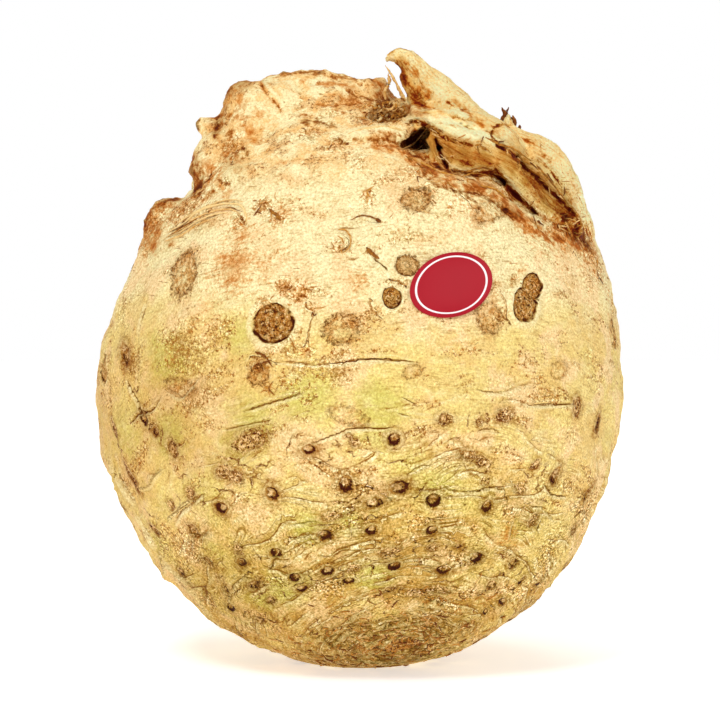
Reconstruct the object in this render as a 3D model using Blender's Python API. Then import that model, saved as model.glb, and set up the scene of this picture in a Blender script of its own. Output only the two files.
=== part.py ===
"""A whole celeriac root, trimmed for sale, with a small blank paper label on its skin.

The swollen root is one solid that grew as one piece. It is a rounded body on a small flat resting spot,
with knuckles, trimmed root stubs and two twisted roots grown into its upper end. The body's surface is
an upright egg of two half ellipses whose wall is pushed in and out by broad swellings. The roots are
round sections carried along curved paths, and Boolean unions join them to the body.

Blender units are metres and +Z is up. Dimensions below are in millimetres. -Y is the front, and an
azimuth is counted in degrees from the front towards +X.
"""

import math

import bmesh
import bpy
from mathutils import Vector

MM = 0.001

# The egg.
HALF_WIDTH = 60.9
DEPTH_RATIO = 0.96
WAIST_HEIGHT = 60.35
DEPTH_BELOW_WAIST = 62.0
RISE_ABOVE_WAIST = 73.5
LOWER_FULLNESS = 1.94
UPPER_FULLNESS = 2.25
AROUND = 56
RINGS_BELOW = 14
RINGS_ABOVE = 17
SWELL_FADE_HEIGHT = 14.0

# Broad swellings and hollows of the body: azimuth, height, rise (below zero for a hollow), spread.
SWELLINGS = (
    (-88, 95, -4.6, 13),
    (122, 92, -1.5, 13),
    (-66, 115, -4.4, 9),
    (-90, 113, -7.0, 9),
    (-112, 112, -5.5, 12),
    (-78, 58, 0.9, 18),
    (-60, 76, 0.9, 14),
    (84, 93, -0.2, 12),
    (38, 60, 1.2, 16),
    (88, 48, -1.3, 14),
    (-25, 42, 1.0, 14),
    (92, 34, -1.2, 16),
    (5, 98, -1.4, 13),
    (24, 121, -3.5, 7),
    (-8, 126, -2.0, 8),
    (112, 50, -1.8, 16),
    (150, 84, 1.8, 17),
    (-152, 58, 1.5, 18),
    (-128, 92, -1.6, 14),
    (178, 34, -1.2, 14),
    (30, 133.8, -3.4, 13),
)

# Knuckles, stubs and roots: (x, y, z, radius) along each path.
ROOTS = {
    "crown_bar": ((-14, -4, 122, 15), (-7, -5, 123.2, 14.4), (-1, -5, 123.2, 13.2), (2, -5, 122.5, 11.5)),
    "left_knuckle": (
        (-14, -8, 110, 13),
        (-20.5, -10, 119.5, 13.4),
        (-22, -10, 126, 12),
        (-23, -10, 131, 9),
    ),
    "left_shoulder": ((-24, -13, 111, 12), (-28.6, -14, 114.4, 10.6), (-35.2, -15, 117.2, 7.7)),
    "left_ledge": ((-36, -16, 98.4, 7), (-42.4, -15, 102.6, 6.2), (-46.4, -14, 104.4, 5.2)),
    "plateau_rim": ((-25, -9, 129.2, 6.4), (-18, -8, 131.2, 6.6), (-11, -7, 132.3, 6.4), (-4, -7, 130.8, 6)),
    "plateau_end": ((-10, -8, 129, 7), (-2, -9, 131.2, 5.2), (3, -9, 133.2, 3.2), (4.9, -9, 135, 1.8)),
    "left_nub": ((-31, -11, 125, 2.6), (-34.5, -11, 125.2, 2.2), (-37.4, -11, 125.6, 1.9)),
    "horn": (
        (38, -12, 115, 6),
        (31, -14, 118.4, 5.3),
        (24.4, -14, 124.8, 4.9),
        (18.3, -13, 130.8, 4.7),
        (14.1, -12, 135.9, 3.6),
        (11.8, -11.5, 138.8, 3),
        (9.8, -11, 141, 2.1),
    ),
    "horn_hook": ((11.5, -11.5, 139.7, 2.1), (9.2, -11.5, 141.3, 1.5), (7, -11.5, 141.2, 1)),
    "plate": (
        (14, -27.2, 127, 1.3),
        (17.4, -25.8, 127.6, 2.2),
        (22.4, -23.6, 126.2, 3.4),
        (28, -21, 123.4, 4.2),
        (34, -18, 119, 4.4),
    ),
    "right_lobe": (
        (28, -13, 118.5, 5.2),
        (33, -13, 120.4, 5.1),
        (38.6, -13, 118.6, 5.5),
        (42.8, -12, 114.8, 5.5),
        (46, -11, 109.6, 4.6),
        (48.9, -9, 103.8, 4.0),
        (50.8, -7, 98, 3.6),
        (52.5, -5, 91, 3),
    ),
    "lower_ridge": (
        (13.6, -27.4, 125, 1.4),
        (17.6, -27.6, 123.4, 3.8),
        (22.6, -28.1, 120.2, 4.9),
        (27.8, -27.8, 118, 5),
        (32.3, -27, 115.9, 4.7),
        (36.7, -25.4, 112.8, 4.3),
        (42, -23, 108.4, 3.8),
        (46.6, -20.4, 104.8, 2.9),
        (49.6, -18.6, 102.2, 2),
    ),
    "bridge": ((25, -12, 119, 8), (23, -20, 120, 7), (21, -25, 121, 5)),
    "saddle": ((20, -15, 126, 4.5), (27, -18, 120.8, 5), (33, -17, 117, 5)),
    "frayed_nub": ((32.8, -13, 121, 2.8), (33.3, -13, 125.2, 1.9), (33, -13, 128.6, 0.9)),
    "back_stub_middle": ((14, 10, 112, 12), (19, 20, 117, 10.5), (22, 26, 121, 8.6)),
    "back_stub_left": ((-16, 12, 112, 13), (-22, 22, 119, 10), (-25, 28, 123.5, 8)),
    "back_stub_right": ((30, 6, 104, 12), (39, 12, 110, 9), (43, 15, 113, 7.4)),
    "back_stub_low": ((-26, 12, 104, 12), (-32, 21, 110, 8), (-34, 25, 113, 6)),
}
ROOT_SIDES = 12
RINGS_PER_SPAN = 2
END_ROUNDING = 0.45

# The label: a blank oval of paper.
LABEL_AZIMUTH = 20.4
LABEL_HEIGHT = 91.4
LABEL_LENGTH = 20.0
LABEL_WIDTH = 14.0
LABEL_TURN = 17.0
LABEL_CLEARANCE = 0.45
LABEL_THICKNESS = 0.25
LABEL_SIDES = 32
LABEL_RINGS = 4

SMOOTH_ANGLE = math.radians(50)


def clear_scene():
    for obj in list(bpy.data.objects):
        bpy.data.objects.remove(obj)


def material(name, colour, roughness):
    """A Principled material of one colour."""
    made = bpy.data.materials.new(name)
    made.use_nodes = True
    shader = made.node_tree.nodes["Principled BSDF"]
    shader.inputs["Base Color"].default_value = (*colour, 1.0)
    shader.inputs["Roughness"].default_value = roughness
    shader.inputs["Metallic"].default_value = 0.0
    return made


def swelling_at(point):
    """How far the swellings push the wall out at a point: a sum of bells, fading out near the base."""
    total = 0.0
    for azimuth, height, rise, spread in SWELLINGS:
        centre = egg_point(math.radians(azimuth), height)
        total += rise * math.exp(-((point - centre).length / spread) ** 2)
    return total * min(1.0, max(0.0, point.z / SWELL_FADE_HEIGHT - 0.15))


def egg_half_width(height):
    """The plain egg's half width at a height: a half ellipse below the waist, a fuller one above."""
    if height < WAIST_HEIGHT:
        share, power = (WAIST_HEIGHT - height) / DEPTH_BELOW_WAIST, LOWER_FULLNESS
    else:
        share, power = (height - WAIST_HEIGHT) / RISE_ABOVE_WAIST, UPPER_FULLNESS
    return HALF_WIDTH * max(0.0, 1.0 - share**power) ** (1.0 / power)


def egg_point(azimuth, height):
    """The plain egg's wall at an azimuth in radians."""
    half_width = egg_half_width(height)
    return Vector(
        (half_width * math.sin(azimuth), -half_width * DEPTH_RATIO * math.cos(azimuth), height)
    )


def body_point(azimuth, height):
    """The swollen wall: the egg's point pushed away from the middle of the waist."""
    point = egg_point(azimuth, height)
    outward = (point - Vector((0.0, 0.0, WAIST_HEIGHT))).normalized()
    return point + outward * swelling_at(point)


def ring_heights():
    """Heights of the body's rings, from the edge of the flat spot to just under the top."""
    lowest_angle = math.acos(WAIST_HEIGHT / DEPTH_BELOW_WAIST)
    heights = []
    for i in range(RINGS_BELOW):
        angle = lowest_angle + (math.pi / 2 - lowest_angle) * i / RINGS_BELOW
        heights.append(WAIST_HEIGHT - DEPTH_BELOW_WAIST * math.cos(angle))
    for i in range(RINGS_ABOVE):
        angle = math.pi / 2 * i / RINGS_ABOVE
        heights.append(WAIST_HEIGHT + RISE_ABOVE_WAIST * math.sin(angle))
    heights[0] = 0.0
    return heights


def skin_rings(mesh_builder, rings):
    """Joins rings of vertices, each to the next, with a strip of faces."""
    for lower, upper in zip(rings, rings[1:]):
        count = len(lower)
        for i in range(count):
            j = (i + 1) % count
            mesh_builder.faces.new((lower[i], lower[j], upper[j], upper[i]))


def close_fan(mesh_builder, ring, tip):
    """Closes an open ring to one tip vertex."""
    for i, vertex in enumerate(ring):
        mesh_builder.faces.new((vertex, ring[(i + 1) % len(ring)], tip))


def mesh_object(name, mesh_builder):
    """Turns a bmesh in millimetres into an object in metres, smooth on its round faces."""
    bmesh.ops.recalc_face_normals(mesh_builder, faces=mesh_builder.faces)
    bmesh.ops.scale(mesh_builder, vec=(MM, MM, MM), verts=mesh_builder.verts)
    data = bpy.data.meshes.new(name)
    mesh_builder.to_mesh(data)
    mesh_builder.free()
    data.shade_smooth()
    data.set_sharp_from_angle(angle=SMOOTH_ANGLE)
    made = bpy.data.objects.new(name, data)
    bpy.context.scene.collection.objects.link(made)
    return made


def make_body():
    """The swollen body, flat where it rests."""
    builder = bmesh.new()
    rings = []
    for height in ring_heights():
        azimuths = [2 * math.pi * i / AROUND for i in range(AROUND)]
        rings.append([builder.verts.new(body_point(a, height)) for a in azimuths])
    skin_rings(builder, rings)
    builder.faces.new(rings[0])
    top = builder.verts.new((0.0, 0.0, WAIST_HEIGHT + RISE_ABOVE_WAIST))
    close_fan(builder, rings[-1], top)
    return mesh_object("celeriac_root", builder)


def along(points, share):
    """A point of the smooth path through the points (Catmull-Rom), with the radius as its last value."""
    position = share * (len(points) - 1)
    span = min(int(position), len(points) - 2)
    t = position - span
    before = points[max(span - 1, 0)]
    after = points[min(span + 2, len(points) - 1)]
    start, end = points[span], points[span + 1]
    return [
        0.5 * (2 * b + (c - a) * t + (2 * a - 5 * b + 4 * c - d) * t**2 + (3 * b - a - 3 * c + d) * t**3)
        for a, b, c, d in zip(before, start, end, after)
    ]


def make_root(name, points):
    """A round section carried along a path, with rounded ends, kept as a hidden operand."""
    builder = bmesh.new()
    stations = [along(points, i / (RINGS_PER_SPAN * (len(points) - 1)))
                for i in range(RINGS_PER_SPAN * (len(points) - 1) + 1)]
    centres = [Vector(station[:3]) for station in stations]
    radii = [station[3] for station in stations]
    rings = []
    for i, centre in enumerate(centres):
        ahead = centres[min(i + 1, len(centres) - 1)] - centres[max(i - 1, 0)]
        direction = ahead.normalized()
        side = direction.cross(Vector((0.13, 0.94, 0.31))).normalized()
        over = side.cross(direction)
        ring = []
        for k in range(ROOT_SIDES):
            angle = 2 * math.pi * k / ROOT_SIDES
            offset = side * math.cos(angle) + over * math.sin(angle)
            ring.append(builder.verts.new(centre + offset * radii[i]))
        rings.append(ring)
    skin_rings(builder, rings)
    for ring, centre, inner, radius in (
        (rings[0], centres[0], centres[1], radii[0]),
        (rings[-1], centres[-1], centres[-2], radii[-1]),
    ):
        tip = centre + (centre - inner).normalized() * radius * END_ROUNDING
        close_fan(builder, ring, builder.verts.new(tip))
    operand = mesh_object(name, builder)
    operand.hide_render = True
    operand.display_type = "WIRE"
    return operand


def grow_roots(body):
    """Unites every knuckle, stub and root with the body."""
    for name, points in ROOTS.items():
        join = body.modifiers.new(name, "BOOLEAN")
        join.operation = "UNION"
        join.solver = "EXACT"
        join.object = make_root(name, points)


def make_label():
    """An oval sheet laid over the body's wall, then given its thickness outwards."""
    middle = body_point(math.radians(LABEL_AZIMUTH), LABEL_HEIGHT)
    outward = (middle - Vector((0.0, 0.0, WAIST_HEIGHT))).normalized()
    across = Vector((0.0, 0.0, 1.0)).cross(outward).normalized()
    upward = outward.cross(across)
    turn = math.radians(LABEL_TURN)
    builder = bmesh.new()

    def laid(share, angle):
        """A point of the oval, moved out along the sight line from the waist to the wall."""
        x = LABEL_LENGTH / 2 * share * math.cos(angle)
        y = LABEL_WIDTH / 2 * share * math.sin(angle)
        flat = middle + across * (x * math.cos(turn) - y * math.sin(turn))
        flat += upward * (x * math.sin(turn) + y * math.cos(turn))
        azimuth = math.atan2(flat.x, -flat.y / DEPTH_RATIO)
        wall = body_point(azimuth, flat.z)
        lift = (wall - Vector((0.0, 0.0, WAIST_HEIGHT))).normalized() * LABEL_CLEARANCE
        return builder.verts.new(wall + lift)

    rings = [
        [laid(r / LABEL_RINGS, 2 * math.pi * k / LABEL_SIDES) for k in range(LABEL_SIDES)]
        for r in range(1, LABEL_RINGS + 1)
    ]
    skin_rings(builder, rings)
    close_fan(builder, rings[0], laid(0.0, 0.0))
    label = mesh_object("produce_label", builder)
    facing = label.data.polygons[0].normal.dot(outward)
    thickness = label.modifiers.new("paper_thickness", "SOLIDIFY")
    thickness.thickness = LABEL_THICKNESS * MM
    thickness.offset = 1.0 if facing > 0 else -1.0
    thickness.use_even_offset = True
    return label


def main():
    clear_scene()
    root = make_body()
    grow_roots(root)
    root.data.materials.append(material("celeriac_skin", (0.76, 0.56, 0.27), 0.62))
    label = make_label()
    label.data.materials.append(material("label_paper", (0.55, 0.02, 0.03), 0.4))


main()
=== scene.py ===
import math
import time

import bpy
import numpy as np
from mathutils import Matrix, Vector
from mathutils.bvhtree import BVHTree


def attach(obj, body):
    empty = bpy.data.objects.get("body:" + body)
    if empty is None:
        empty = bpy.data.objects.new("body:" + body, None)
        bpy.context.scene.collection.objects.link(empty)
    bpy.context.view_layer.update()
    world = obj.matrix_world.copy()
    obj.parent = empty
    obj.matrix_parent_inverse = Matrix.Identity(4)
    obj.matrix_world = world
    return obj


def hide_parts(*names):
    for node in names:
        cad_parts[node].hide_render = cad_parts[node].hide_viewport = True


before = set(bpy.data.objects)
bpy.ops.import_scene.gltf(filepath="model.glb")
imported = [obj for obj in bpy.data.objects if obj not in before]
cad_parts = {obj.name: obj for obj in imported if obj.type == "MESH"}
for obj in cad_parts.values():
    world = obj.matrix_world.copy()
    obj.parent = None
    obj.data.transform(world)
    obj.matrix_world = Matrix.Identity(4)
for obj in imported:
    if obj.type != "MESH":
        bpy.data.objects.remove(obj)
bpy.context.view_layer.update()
metre = 0.001  # one millimetre in metres
startTime = time.time()


def say(text):
    print("celeriac: %s (%.0f s)" % (text, time.time() - startTime))


# number tools


def unit(vectors):
    # each row divided by its length
    return vectors / np.maximum(np.linalg.norm(vectors, axis=-1, keepdims=True), 1e-9)


def ramp(values, low, high):
    # 0 below low, 1 above high, and the smooth curve 3t^2 - 2t^3 between; low may be above high
    t = np.clip((values - low) / (high - low), 0.0, 1.0)
    return t * t * (3.0 - 2.0 * t)


def bell(distance, spread):
    # 1 at the middle, falling as e^-(distance/spread)^2
    return np.exp(-((distance / spread) ** 2))


noiseReach = 1.55


def gradientNoise(points, seed):
    # each corner of the unit cell has a slope of its own; the rises from the 8 corners are blended by
    # 6t^5 - 15t^4 + 10t^3 and brought to about -1 to 1
    rng = np.random.default_rng(seed)
    order = rng.permutation(256)
    slopes = unit(rng.normal(size=(256, 3)))
    cell = np.floor(points).astype(int)
    inside = points - cell
    fade = inside**3 * (inside * (inside * 6 - 15) + 10)
    total = np.zeros(len(points))
    for corner in np.ndindex(2, 2, 2):
        at = (cell + corner) & 255
        pick = order[(order[(order[at[:, 0]] + at[:, 1]) & 255] + at[:, 2]) & 255]
        rise = ((inside - corner) * slopes[pick]).sum(1)
        total += rise * np.where(corner, fade, 1 - fade).prod(1)
    return total * noiseReach


def cloudNoise(points, size, seed, octaves=3, fall=0.5):
    # octaves of gradient noise, each half as wide and fall times as strong as the one before
    total, strength, weight = np.zeros(len(points)), 1.0, 0.0
    for k in range(octaves):
        total += strength * gradientNoise(points / size * 2**k, seed + 17 * k)
        weight += strength
        strength *= fall
    return total / weight


def curveThrough(points, steps):
    # Catmull-Rom curve through the points, with steps samples on each span; any number of columns
    points = np.asarray(points, float)
    ends = np.vstack([2 * points[0] - points[1], points, 2 * points[-1] - points[-2]])
    t = np.linspace(0, 1, steps, endpoint=False)[:, None]
    spans = []
    for a, b, c, d in zip(ends, ends[1:], ends[2:], ends[3:]):
        square, cube = (2 * a - 5 * b + 4 * c - d) * t**2, (3 * b - a - 3 * c + d) * t**3
        spans.append(0.5 * (2 * b + (c - a) * t + square + cube))
    return np.vstack(spans + [points[-1:]])


def nearestOnPath(points, path):
    # for each point: distance to the broken line, place along it in mm, and the line's direction there
    best = np.full(len(points), 1e9)
    along, which, share = np.zeros(len(points)), np.zeros(len(points), int), np.zeros(len(points))
    steps = np.linalg.norm(np.diff(path[:, :3], axis=0), axis=1)
    starts = np.concatenate([[0], np.cumsum(steps)])
    for k in range(len(path) - 1):
        a, span = path[k, :3], path[k + 1, :3] - path[k, :3]
        t = np.clip(((points - a) @ span) / max(span @ span, 1e-9), 0, 1)
        away = np.linalg.norm(points - a - t[:, None] * span, axis=1)
        closer = away < best
        best[closer], share[closer], which[closer] = away[closer], t[closer], k
        along[closer] = starts[k] + t[closer] * steps[k]
    return best, along, which, share


# mesh tools


def gridQuads(rows, around):
    # faces between ring i and ring i+1, closed round the ring
    i, j = np.meshgrid(np.arange(rows - 1), np.arange(around), indexing="ij")
    k = (j + 1) % around
    here, ahead = i * around, (i + 1) * around
    return np.stack([here + j, here + k, ahead + k, ahead + j], -1).reshape(-1, 4)


def closedTube(rings):
    # rings of points (rows, around, 3) skinned into quads, each end closed by a fan to its middle
    rows, around = rings.shape[:2]
    points = np.vstack([rings.reshape(-1, 3), rings[0].mean(0), rings[-1].mean(0)])
    faces = [tuple(q) for q in gridQuads(rows, around)]
    j = np.arange(around)
    k = (j + 1) % around
    first, last = rows * around, rows * around + 1
    faces += [(first, int(b), int(a)) for a, b in zip(j, k)]
    faces += [(last, int(a), int(b)) for a, b in zip((rows - 1) * around + j, (rows - 1) * around + k)]
    return points, faces


def newMesh(name, points, faces):
    mesh = bpy.data.meshes.new(name)
    mesh.from_pydata((np.asarray(points) * metre).tolist(), [], [tuple(int(i) for i in f) for f in faces])
    mesh.validate()
    mesh.update()
    return mesh


def newObject(name, mesh):
    made = bpy.data.objects.new(name, mesh)
    bpy.context.scene.collection.objects.link(made)
    return made


def joinedShells(name, shells):
    # several closed shells in one mesh
    points, faces, first = [], [], 0
    for shellPoints, shellFaces in shells:
        points.append(shellPoints)
        faces += [tuple(int(i) + first for i in f) for f in shellFaces]
        first += len(shellPoints)
    return newObject(name, newMesh(name, np.vstack(points), faces))


def applied(thing, *modifiers):
    # runs the modifiers given as (type, settings) and keeps the result as the object's mesh
    for kind, settings in modifiers:
        step = thing.modifiers.new(kind.lower(), kind)
        for key, value in settings.items():
            setattr(step, key, value)
    graph = bpy.context.evaluated_depsgraph_get()
    result = bpy.data.meshes.new_from_object(thing.evaluated_get(graph))
    thing.modifiers.clear()
    old = thing.data
    thing.data = result
    bpy.data.meshes.remove(old)
    return thing


def meshPoints(mesh):
    flat = np.empty(len(mesh.vertices) * 3, np.float32)
    mesh.vertices.foreach_get("co", flat)
    return flat.reshape(-1, 3).astype(float) / metre


def setMeshPoints(mesh, points):
    mesh.vertices.foreach_set("co", (points * metre).astype(np.float32).ravel())
    mesh.update()


def meshNormals(mesh):
    flat = np.empty(len(mesh.vertices) * 3, np.float32)
    mesh.vertex_normals.foreach_get("vector", flat)
    return flat.reshape(-1, 3).astype(float)


def meshEdges(mesh):
    flat = np.empty(len(mesh.edges) * 2, np.int32)
    mesh.edges.foreach_get("vertices", flat)
    return flat.reshape(-1, 2)


def averaged(values, edges, rounds, share=0.6):
    # each value moves by share towards the mean of its neighbours, rounds times
    a, b = edges[:, 0], edges[:, 1]
    count = np.bincount(a, minlength=len(values)) + np.bincount(b, minlength=len(values))
    values = np.array(values, float)
    flat = values.reshape(len(values), -1)
    for _ in range(rounds):
        for c in range(flat.shape[1]):
            column = flat[:, c]
            total = np.bincount(a, column[b], len(column)) + np.bincount(b, column[a], len(column))
            flat[:, c] = column + share * (total / np.maximum(count, 1) - column)
    return flat.reshape(values.shape)


def storeValue(mesh, name, values):
    values = np.asarray(values, np.float32)
    if values.ndim == 1:
        mesh.attributes.new(name, "FLOAT", "POINT").data.foreach_set("value", values)
    else:
        mesh.attributes.new(name, "FLOAT_VECTOR", "POINT").data.foreach_set("vector", values.ravel())


# the swollen body

body = {
    "halfWidth": 60.9,
    "depthRatio": 0.96,
    "waistHeight": 60.35,
    "depthBelowWaist": 62.0,
    "riseAboveWaist": 73.5,
    "lowerFullness": 1.94,
    "upperFullness": 2.25,
    "around": 300,
    "rings": 240,
    "restHeight": 14.0,  # below this the swellings fade out
    # azimuth, height, rise (below zero for a hollow), spread
    "swellings": (
        (-88, 95, -4.6, 13),
        (122, 92, -1.5, 13),
        (-66, 115, -4.4, 9),
        (-90, 113, -7.0, 9),
        (-112, 112, -5.5, 12),
        (-78, 58, 0.9, 18),
        (-60, 76, 0.9, 14),
        (84, 93, -0.2, 12),
        (38, 60, 1.2, 16),
        (88, 48, -1.3, 14),
        (-25, 42, 1.0, 14),
        (92, 34, -1.2, 16),
        (5, 98, -1.4, 13),
        (24, 121, -3.5, 7),
        (-8, 126, -2.0, 8),
        (112, 50, -1.8, 16),
        (150, 84, 1.8, 17),
        (-152, 58, 1.5, 18),
        (-128, 92, -1.6, 14),
        (178, 34, -1.2, 14),
        (30, 133.8, -3.4, 13),
    ),
}


def eggPoint(azimuth, height):
    # half width = full half width * (1 - share^power)^(1/power), where share is the distance from the waist
    # over the egg's reach that way; then a ring of that size round the upright axis, flattened front to back
    azimuth, height = np.broadcast_arrays(np.asarray(azimuth, float), np.asarray(height, float))
    below = height < body["waistHeight"]
    reach = np.where(below, -body["depthBelowWaist"], body["riseAboveWaist"])
    power = np.where(below, body["lowerFullness"], body["upperFullness"])
    share = np.clip((height - body["waistHeight"]) / reach, 0, 1)
    width = body["halfWidth"] * (1 - share**power) ** (1 / power)
    turn = np.radians(azimuth)
    return np.stack([width * np.sin(turn), -width * body["depthRatio"] * np.cos(turn), height], -1)


def wallPoint(azimuth, height):
    # the egg's point moved away from the middle of the waist by the sum of the swellings' bells
    point = eggPoint(azimuth, height)
    rise = np.zeros(point.shape[:-1])
    for place, level, amount, spread in body["swellings"]:
        rise += amount * bell(np.linalg.norm(point - eggPoint(place, level), axis=-1), spread)
    rise *= np.clip(point[..., 2] / body["restHeight"] - 0.15, 0, 1)
    outward = unit(point - np.array([0, 0, body["waistHeight"]]))
    return point + outward * rise[..., None]


def bodyShell():
    # rings evenly spaced in angle from the flat spot's edge to the top
    lowest = -math.asin(body["waistHeight"] / body["depthBelowWaist"])
    angle = np.linspace(lowest, math.pi / 2 * 0.995, body["rings"])
    reach = np.where(angle < 0, body["depthBelowWaist"], body["riseAboveWaist"])
    height = body["waistHeight"] + reach * np.sin(angle)
    height[0] = 0.0
    azimuth = np.linspace(0, 360, body["around"], endpoint=False)
    return closedTube(wallPoint(azimuth[None, :], height[:, None]))


# knuckles, stubs and twisted roots: x, y, z, radius along each path
roots = {
    "crownBar": ((-14, -4, 122, 15), (-7, -5, 123.2, 14.4), (-1, -5, 123.2, 13.2), (2, -5, 122.5, 11.5)),
    "leftKnuckle": ((-14, -8, 110, 13), (-20.5, -10, 119.5, 13.4), (-22, -10, 126, 12), (-23, -10, 131, 9)),
    "knuckleCorner": ((-22, -10, 127, 7), (-25.8, -10, 130, 6.2), (-28.4, -10, 131.6, 5)),
    "leftShoulder": ((-24, -13, 111, 12), (-28.6, -14, 114.4, 10.6), (-35.2, -15, 117.2, 7.7)),
    "leftLedge": ((-36, -16, 98.4, 7), (-42.4, -15, 102.6, 6.2), (-46.4, -14, 104.4, 5.2)),
    "plateauRim": ((-25, -9, 129.2, 6.4), (-18, -8, 131.2, 6.6), (-11, -7, 132.3, 6.4), (-4, -7, 130.8, 6)),
    "leftNub": ((-31, -11, 125, 2.6), (-34.5, -11, 125.2, 2.2), (-37.4, -11, 125.6, 1.9)),
    "horn": (
        (38, -12, 115, 6), (31, -14, 118.4, 5.3), (24.4, -14, 124.8, 4.9), (18.3, -13, 130.8, 4.7),
        (14.1, -12, 135.9, 3.6), (11.8, -11.5, 138.8, 3), (9.8, -11, 141, 2.1),
    ),
    "hornHook": (
        (11.5, -11.5, 139.7, 2.1), (9.2, -11.5, 141.3, 1.5), (7, -11.5, 141.2, 1), (5.2, -11.5, 140.3, 0.7),
    ),
    "hornFlap": (
        (8.9, -13, 137.2, 0.9), (10.6, -14, 134.6, 1.2), (12.4, -15, 131.8, 1.6), (14.2, -16, 129.6, 2),
    ),
    "plateLip": (
        (11.9, -28.6, 125.9, 0.7), (11.9, -28.4, 127.3, 1), (13.4, -27.8, 128.1, 1.1),
        (15.8, -27, 127.8, 1.4), (18.6, -26.2, 126.6, 1.9),
    ),
    "plate": (
        (14, -27.2, 127, 1.3), (17.4, -25.8, 127.6, 2.2), (22.4, -23.6, 126.2, 3.4), (28, -21, 123.4, 4.2),
        (34, -18, 119, 4.4),
    ),
    "rightLobe": (
        (28, -13, 118.5, 5.2), (33, -13, 120.4, 5.1), (38.6, -13, 118.6, 5.5), (42.8, -12, 114.8, 5.5),
        (46, -11, 109.6, 4.6), (48.9, -9, 103.8, 4), (50.8, -7, 98, 3.6), (52.5, -5, 91, 3),
    ),
    "lowerRidge": (
        (13.6, -27.4, 125, 1.4), (17.6, -27.6, 123.4, 3.8), (22.6, -28.1, 120.2, 4.9),
        (27.8, -27.8, 118, 5), (32.3, -27, 115.9, 4.7), (36.7, -25.4, 112.8, 4.3), (42, -23, 108.4, 3.8),
        (46.6, -20.4, 104.8, 2.9), (49.6, -18.6, 102.2, 2),
    ),
    "bridge": ((25, -12, 119, 8), (23, -20, 120, 7), (21, -25, 121, 5)),
    "saddle": ((20, -15, 126, 4.5), (27, -18, 120.8, 5), (33, -17, 117, 5)),
    "plateauEnd": ((-10, -8, 129, 7), (-2, -9, 131.2, 5.2), (3, -9, 133.2, 3.2), (4.9, -9, 135, 1.8)),
    "innerColumn": (
        (13.4, -27, 126, 1.6), (14.8, -29, 122.2, 1.9), (16.4, -30.6, 118.8, 2.1), (18.6, -32, 115, 2.2),
    ),
    "frayedNub": (
        (32.8, -13, 121, 2.8), (33.3, -13, 125.2, 1.9), (33, -13, 127.6, 1.1), (32.8, -13, 128.6, 0.5),
    ),
    "backStubMiddle": ((14, 10, 112, 12), (19, 20, 117, 10.5), (22, 26, 121, 8.6)),
    "backStubLeft": ((-16, 12, 112, 13), (-22, 22, 119, 10), (-25, 28, 123.5, 8)),
    "backStubRight": ((30, 6, 104, 12), (39, 12, 110, 9), (43, 15, 113, 7.4)),
    "backStubLow": ((-26, 12, 104, 12), (-32, 21, 110, 8), (-34, 25, 113, 6)),
}

# places where the flesh is missing: x, y, z, radius along each path
hollows = {
    "deepHole": (
        (11.6, -34, 121.4, 1.1), (12.2, -30, 121.6, 1.9), (13.2, -25, 122, 2.8), (16, -18, 120.8, 2.8),
    ),
    "holeCorner": ((8.4, -34, 121.2, 0.5), (10.2, -30, 121.4, 1.1), (12, -25, 121.6, 1.8)),
    "holeTop": ((14.6, -33, 124.5, 0.6), (13.9, -28, 124, 1.3), (13.6, -23, 122.6, 2.2)),
    "holeFoot": ((14.7, -35, 120, 0.6), (14.2, -30, 120.6, 1.2), (13.8, -25, 121.4, 2)),
    "slit": ((16.2, -34, 123.4, 0.7), (17.2, -32.4, 120.4, 1), (18.6, -33, 116.6, 0.8)),
    "slitDeep": ((17, -32, 121.4, 0.9), (18.6, -27, 119.6, 1.3)),
    "lobeGroove": (
        (29.8, -25, 122.2, 0.8), (34.6, -28.4, 117.8, 1.7), (39.1, -27.8, 113.8, 2.2),
        (43.6, -25.4, 109.6, 2.2), (47.6, -21.8, 105.6, 1.3),
    ),
    "ridgeCrevice": (
        (18.4, -36.4, 115.8, 0.8), (22.6, -36.4, 115.2, 1.1), (26.4, -36, 115, 1.3),
        (30.2, -34.6, 113.8, 1.6), (33.6, -32.4, 110.6, 1.5), (37.2, -30.8, 107.2, 0.9),
        (40, -29.4, 105, 0.5),
    ),
    "creviceDeep": ((27.6, -34, 114.8, 1), (31.4, -30, 113, 1.6), (35, -27, 109.6, 1.2)),
    "rootletPit": ((3.8, -27, 129.8, 2.6), (6.2, -22, 128.6, 4.2), (7.6, -17, 128.2, 4)),
    "lobeSplit": (
        (-23.4, -2, 138, 1.1), (-23.6, -12, 137, 1.1), (-22.8, -18, 134.6, 0.8), (-21.4, -20.4, 132.2, 0.4),
    ),
    "shoulderNotch": ((-41.8, -34, 112.2, 2.6), (-41.7, -14, 112, 3.3), (-42.4, 14, 112.6, 4.2)),
    "gap": ((7.2, -24, 133.6, 1.4), (7.5, -10, 134.4, 1.9), (8.2, 8, 136, 3)),
    "crownDish": ((-9, 6, 142, 6), (-2, 12, 141.5, 7)),
}


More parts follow.
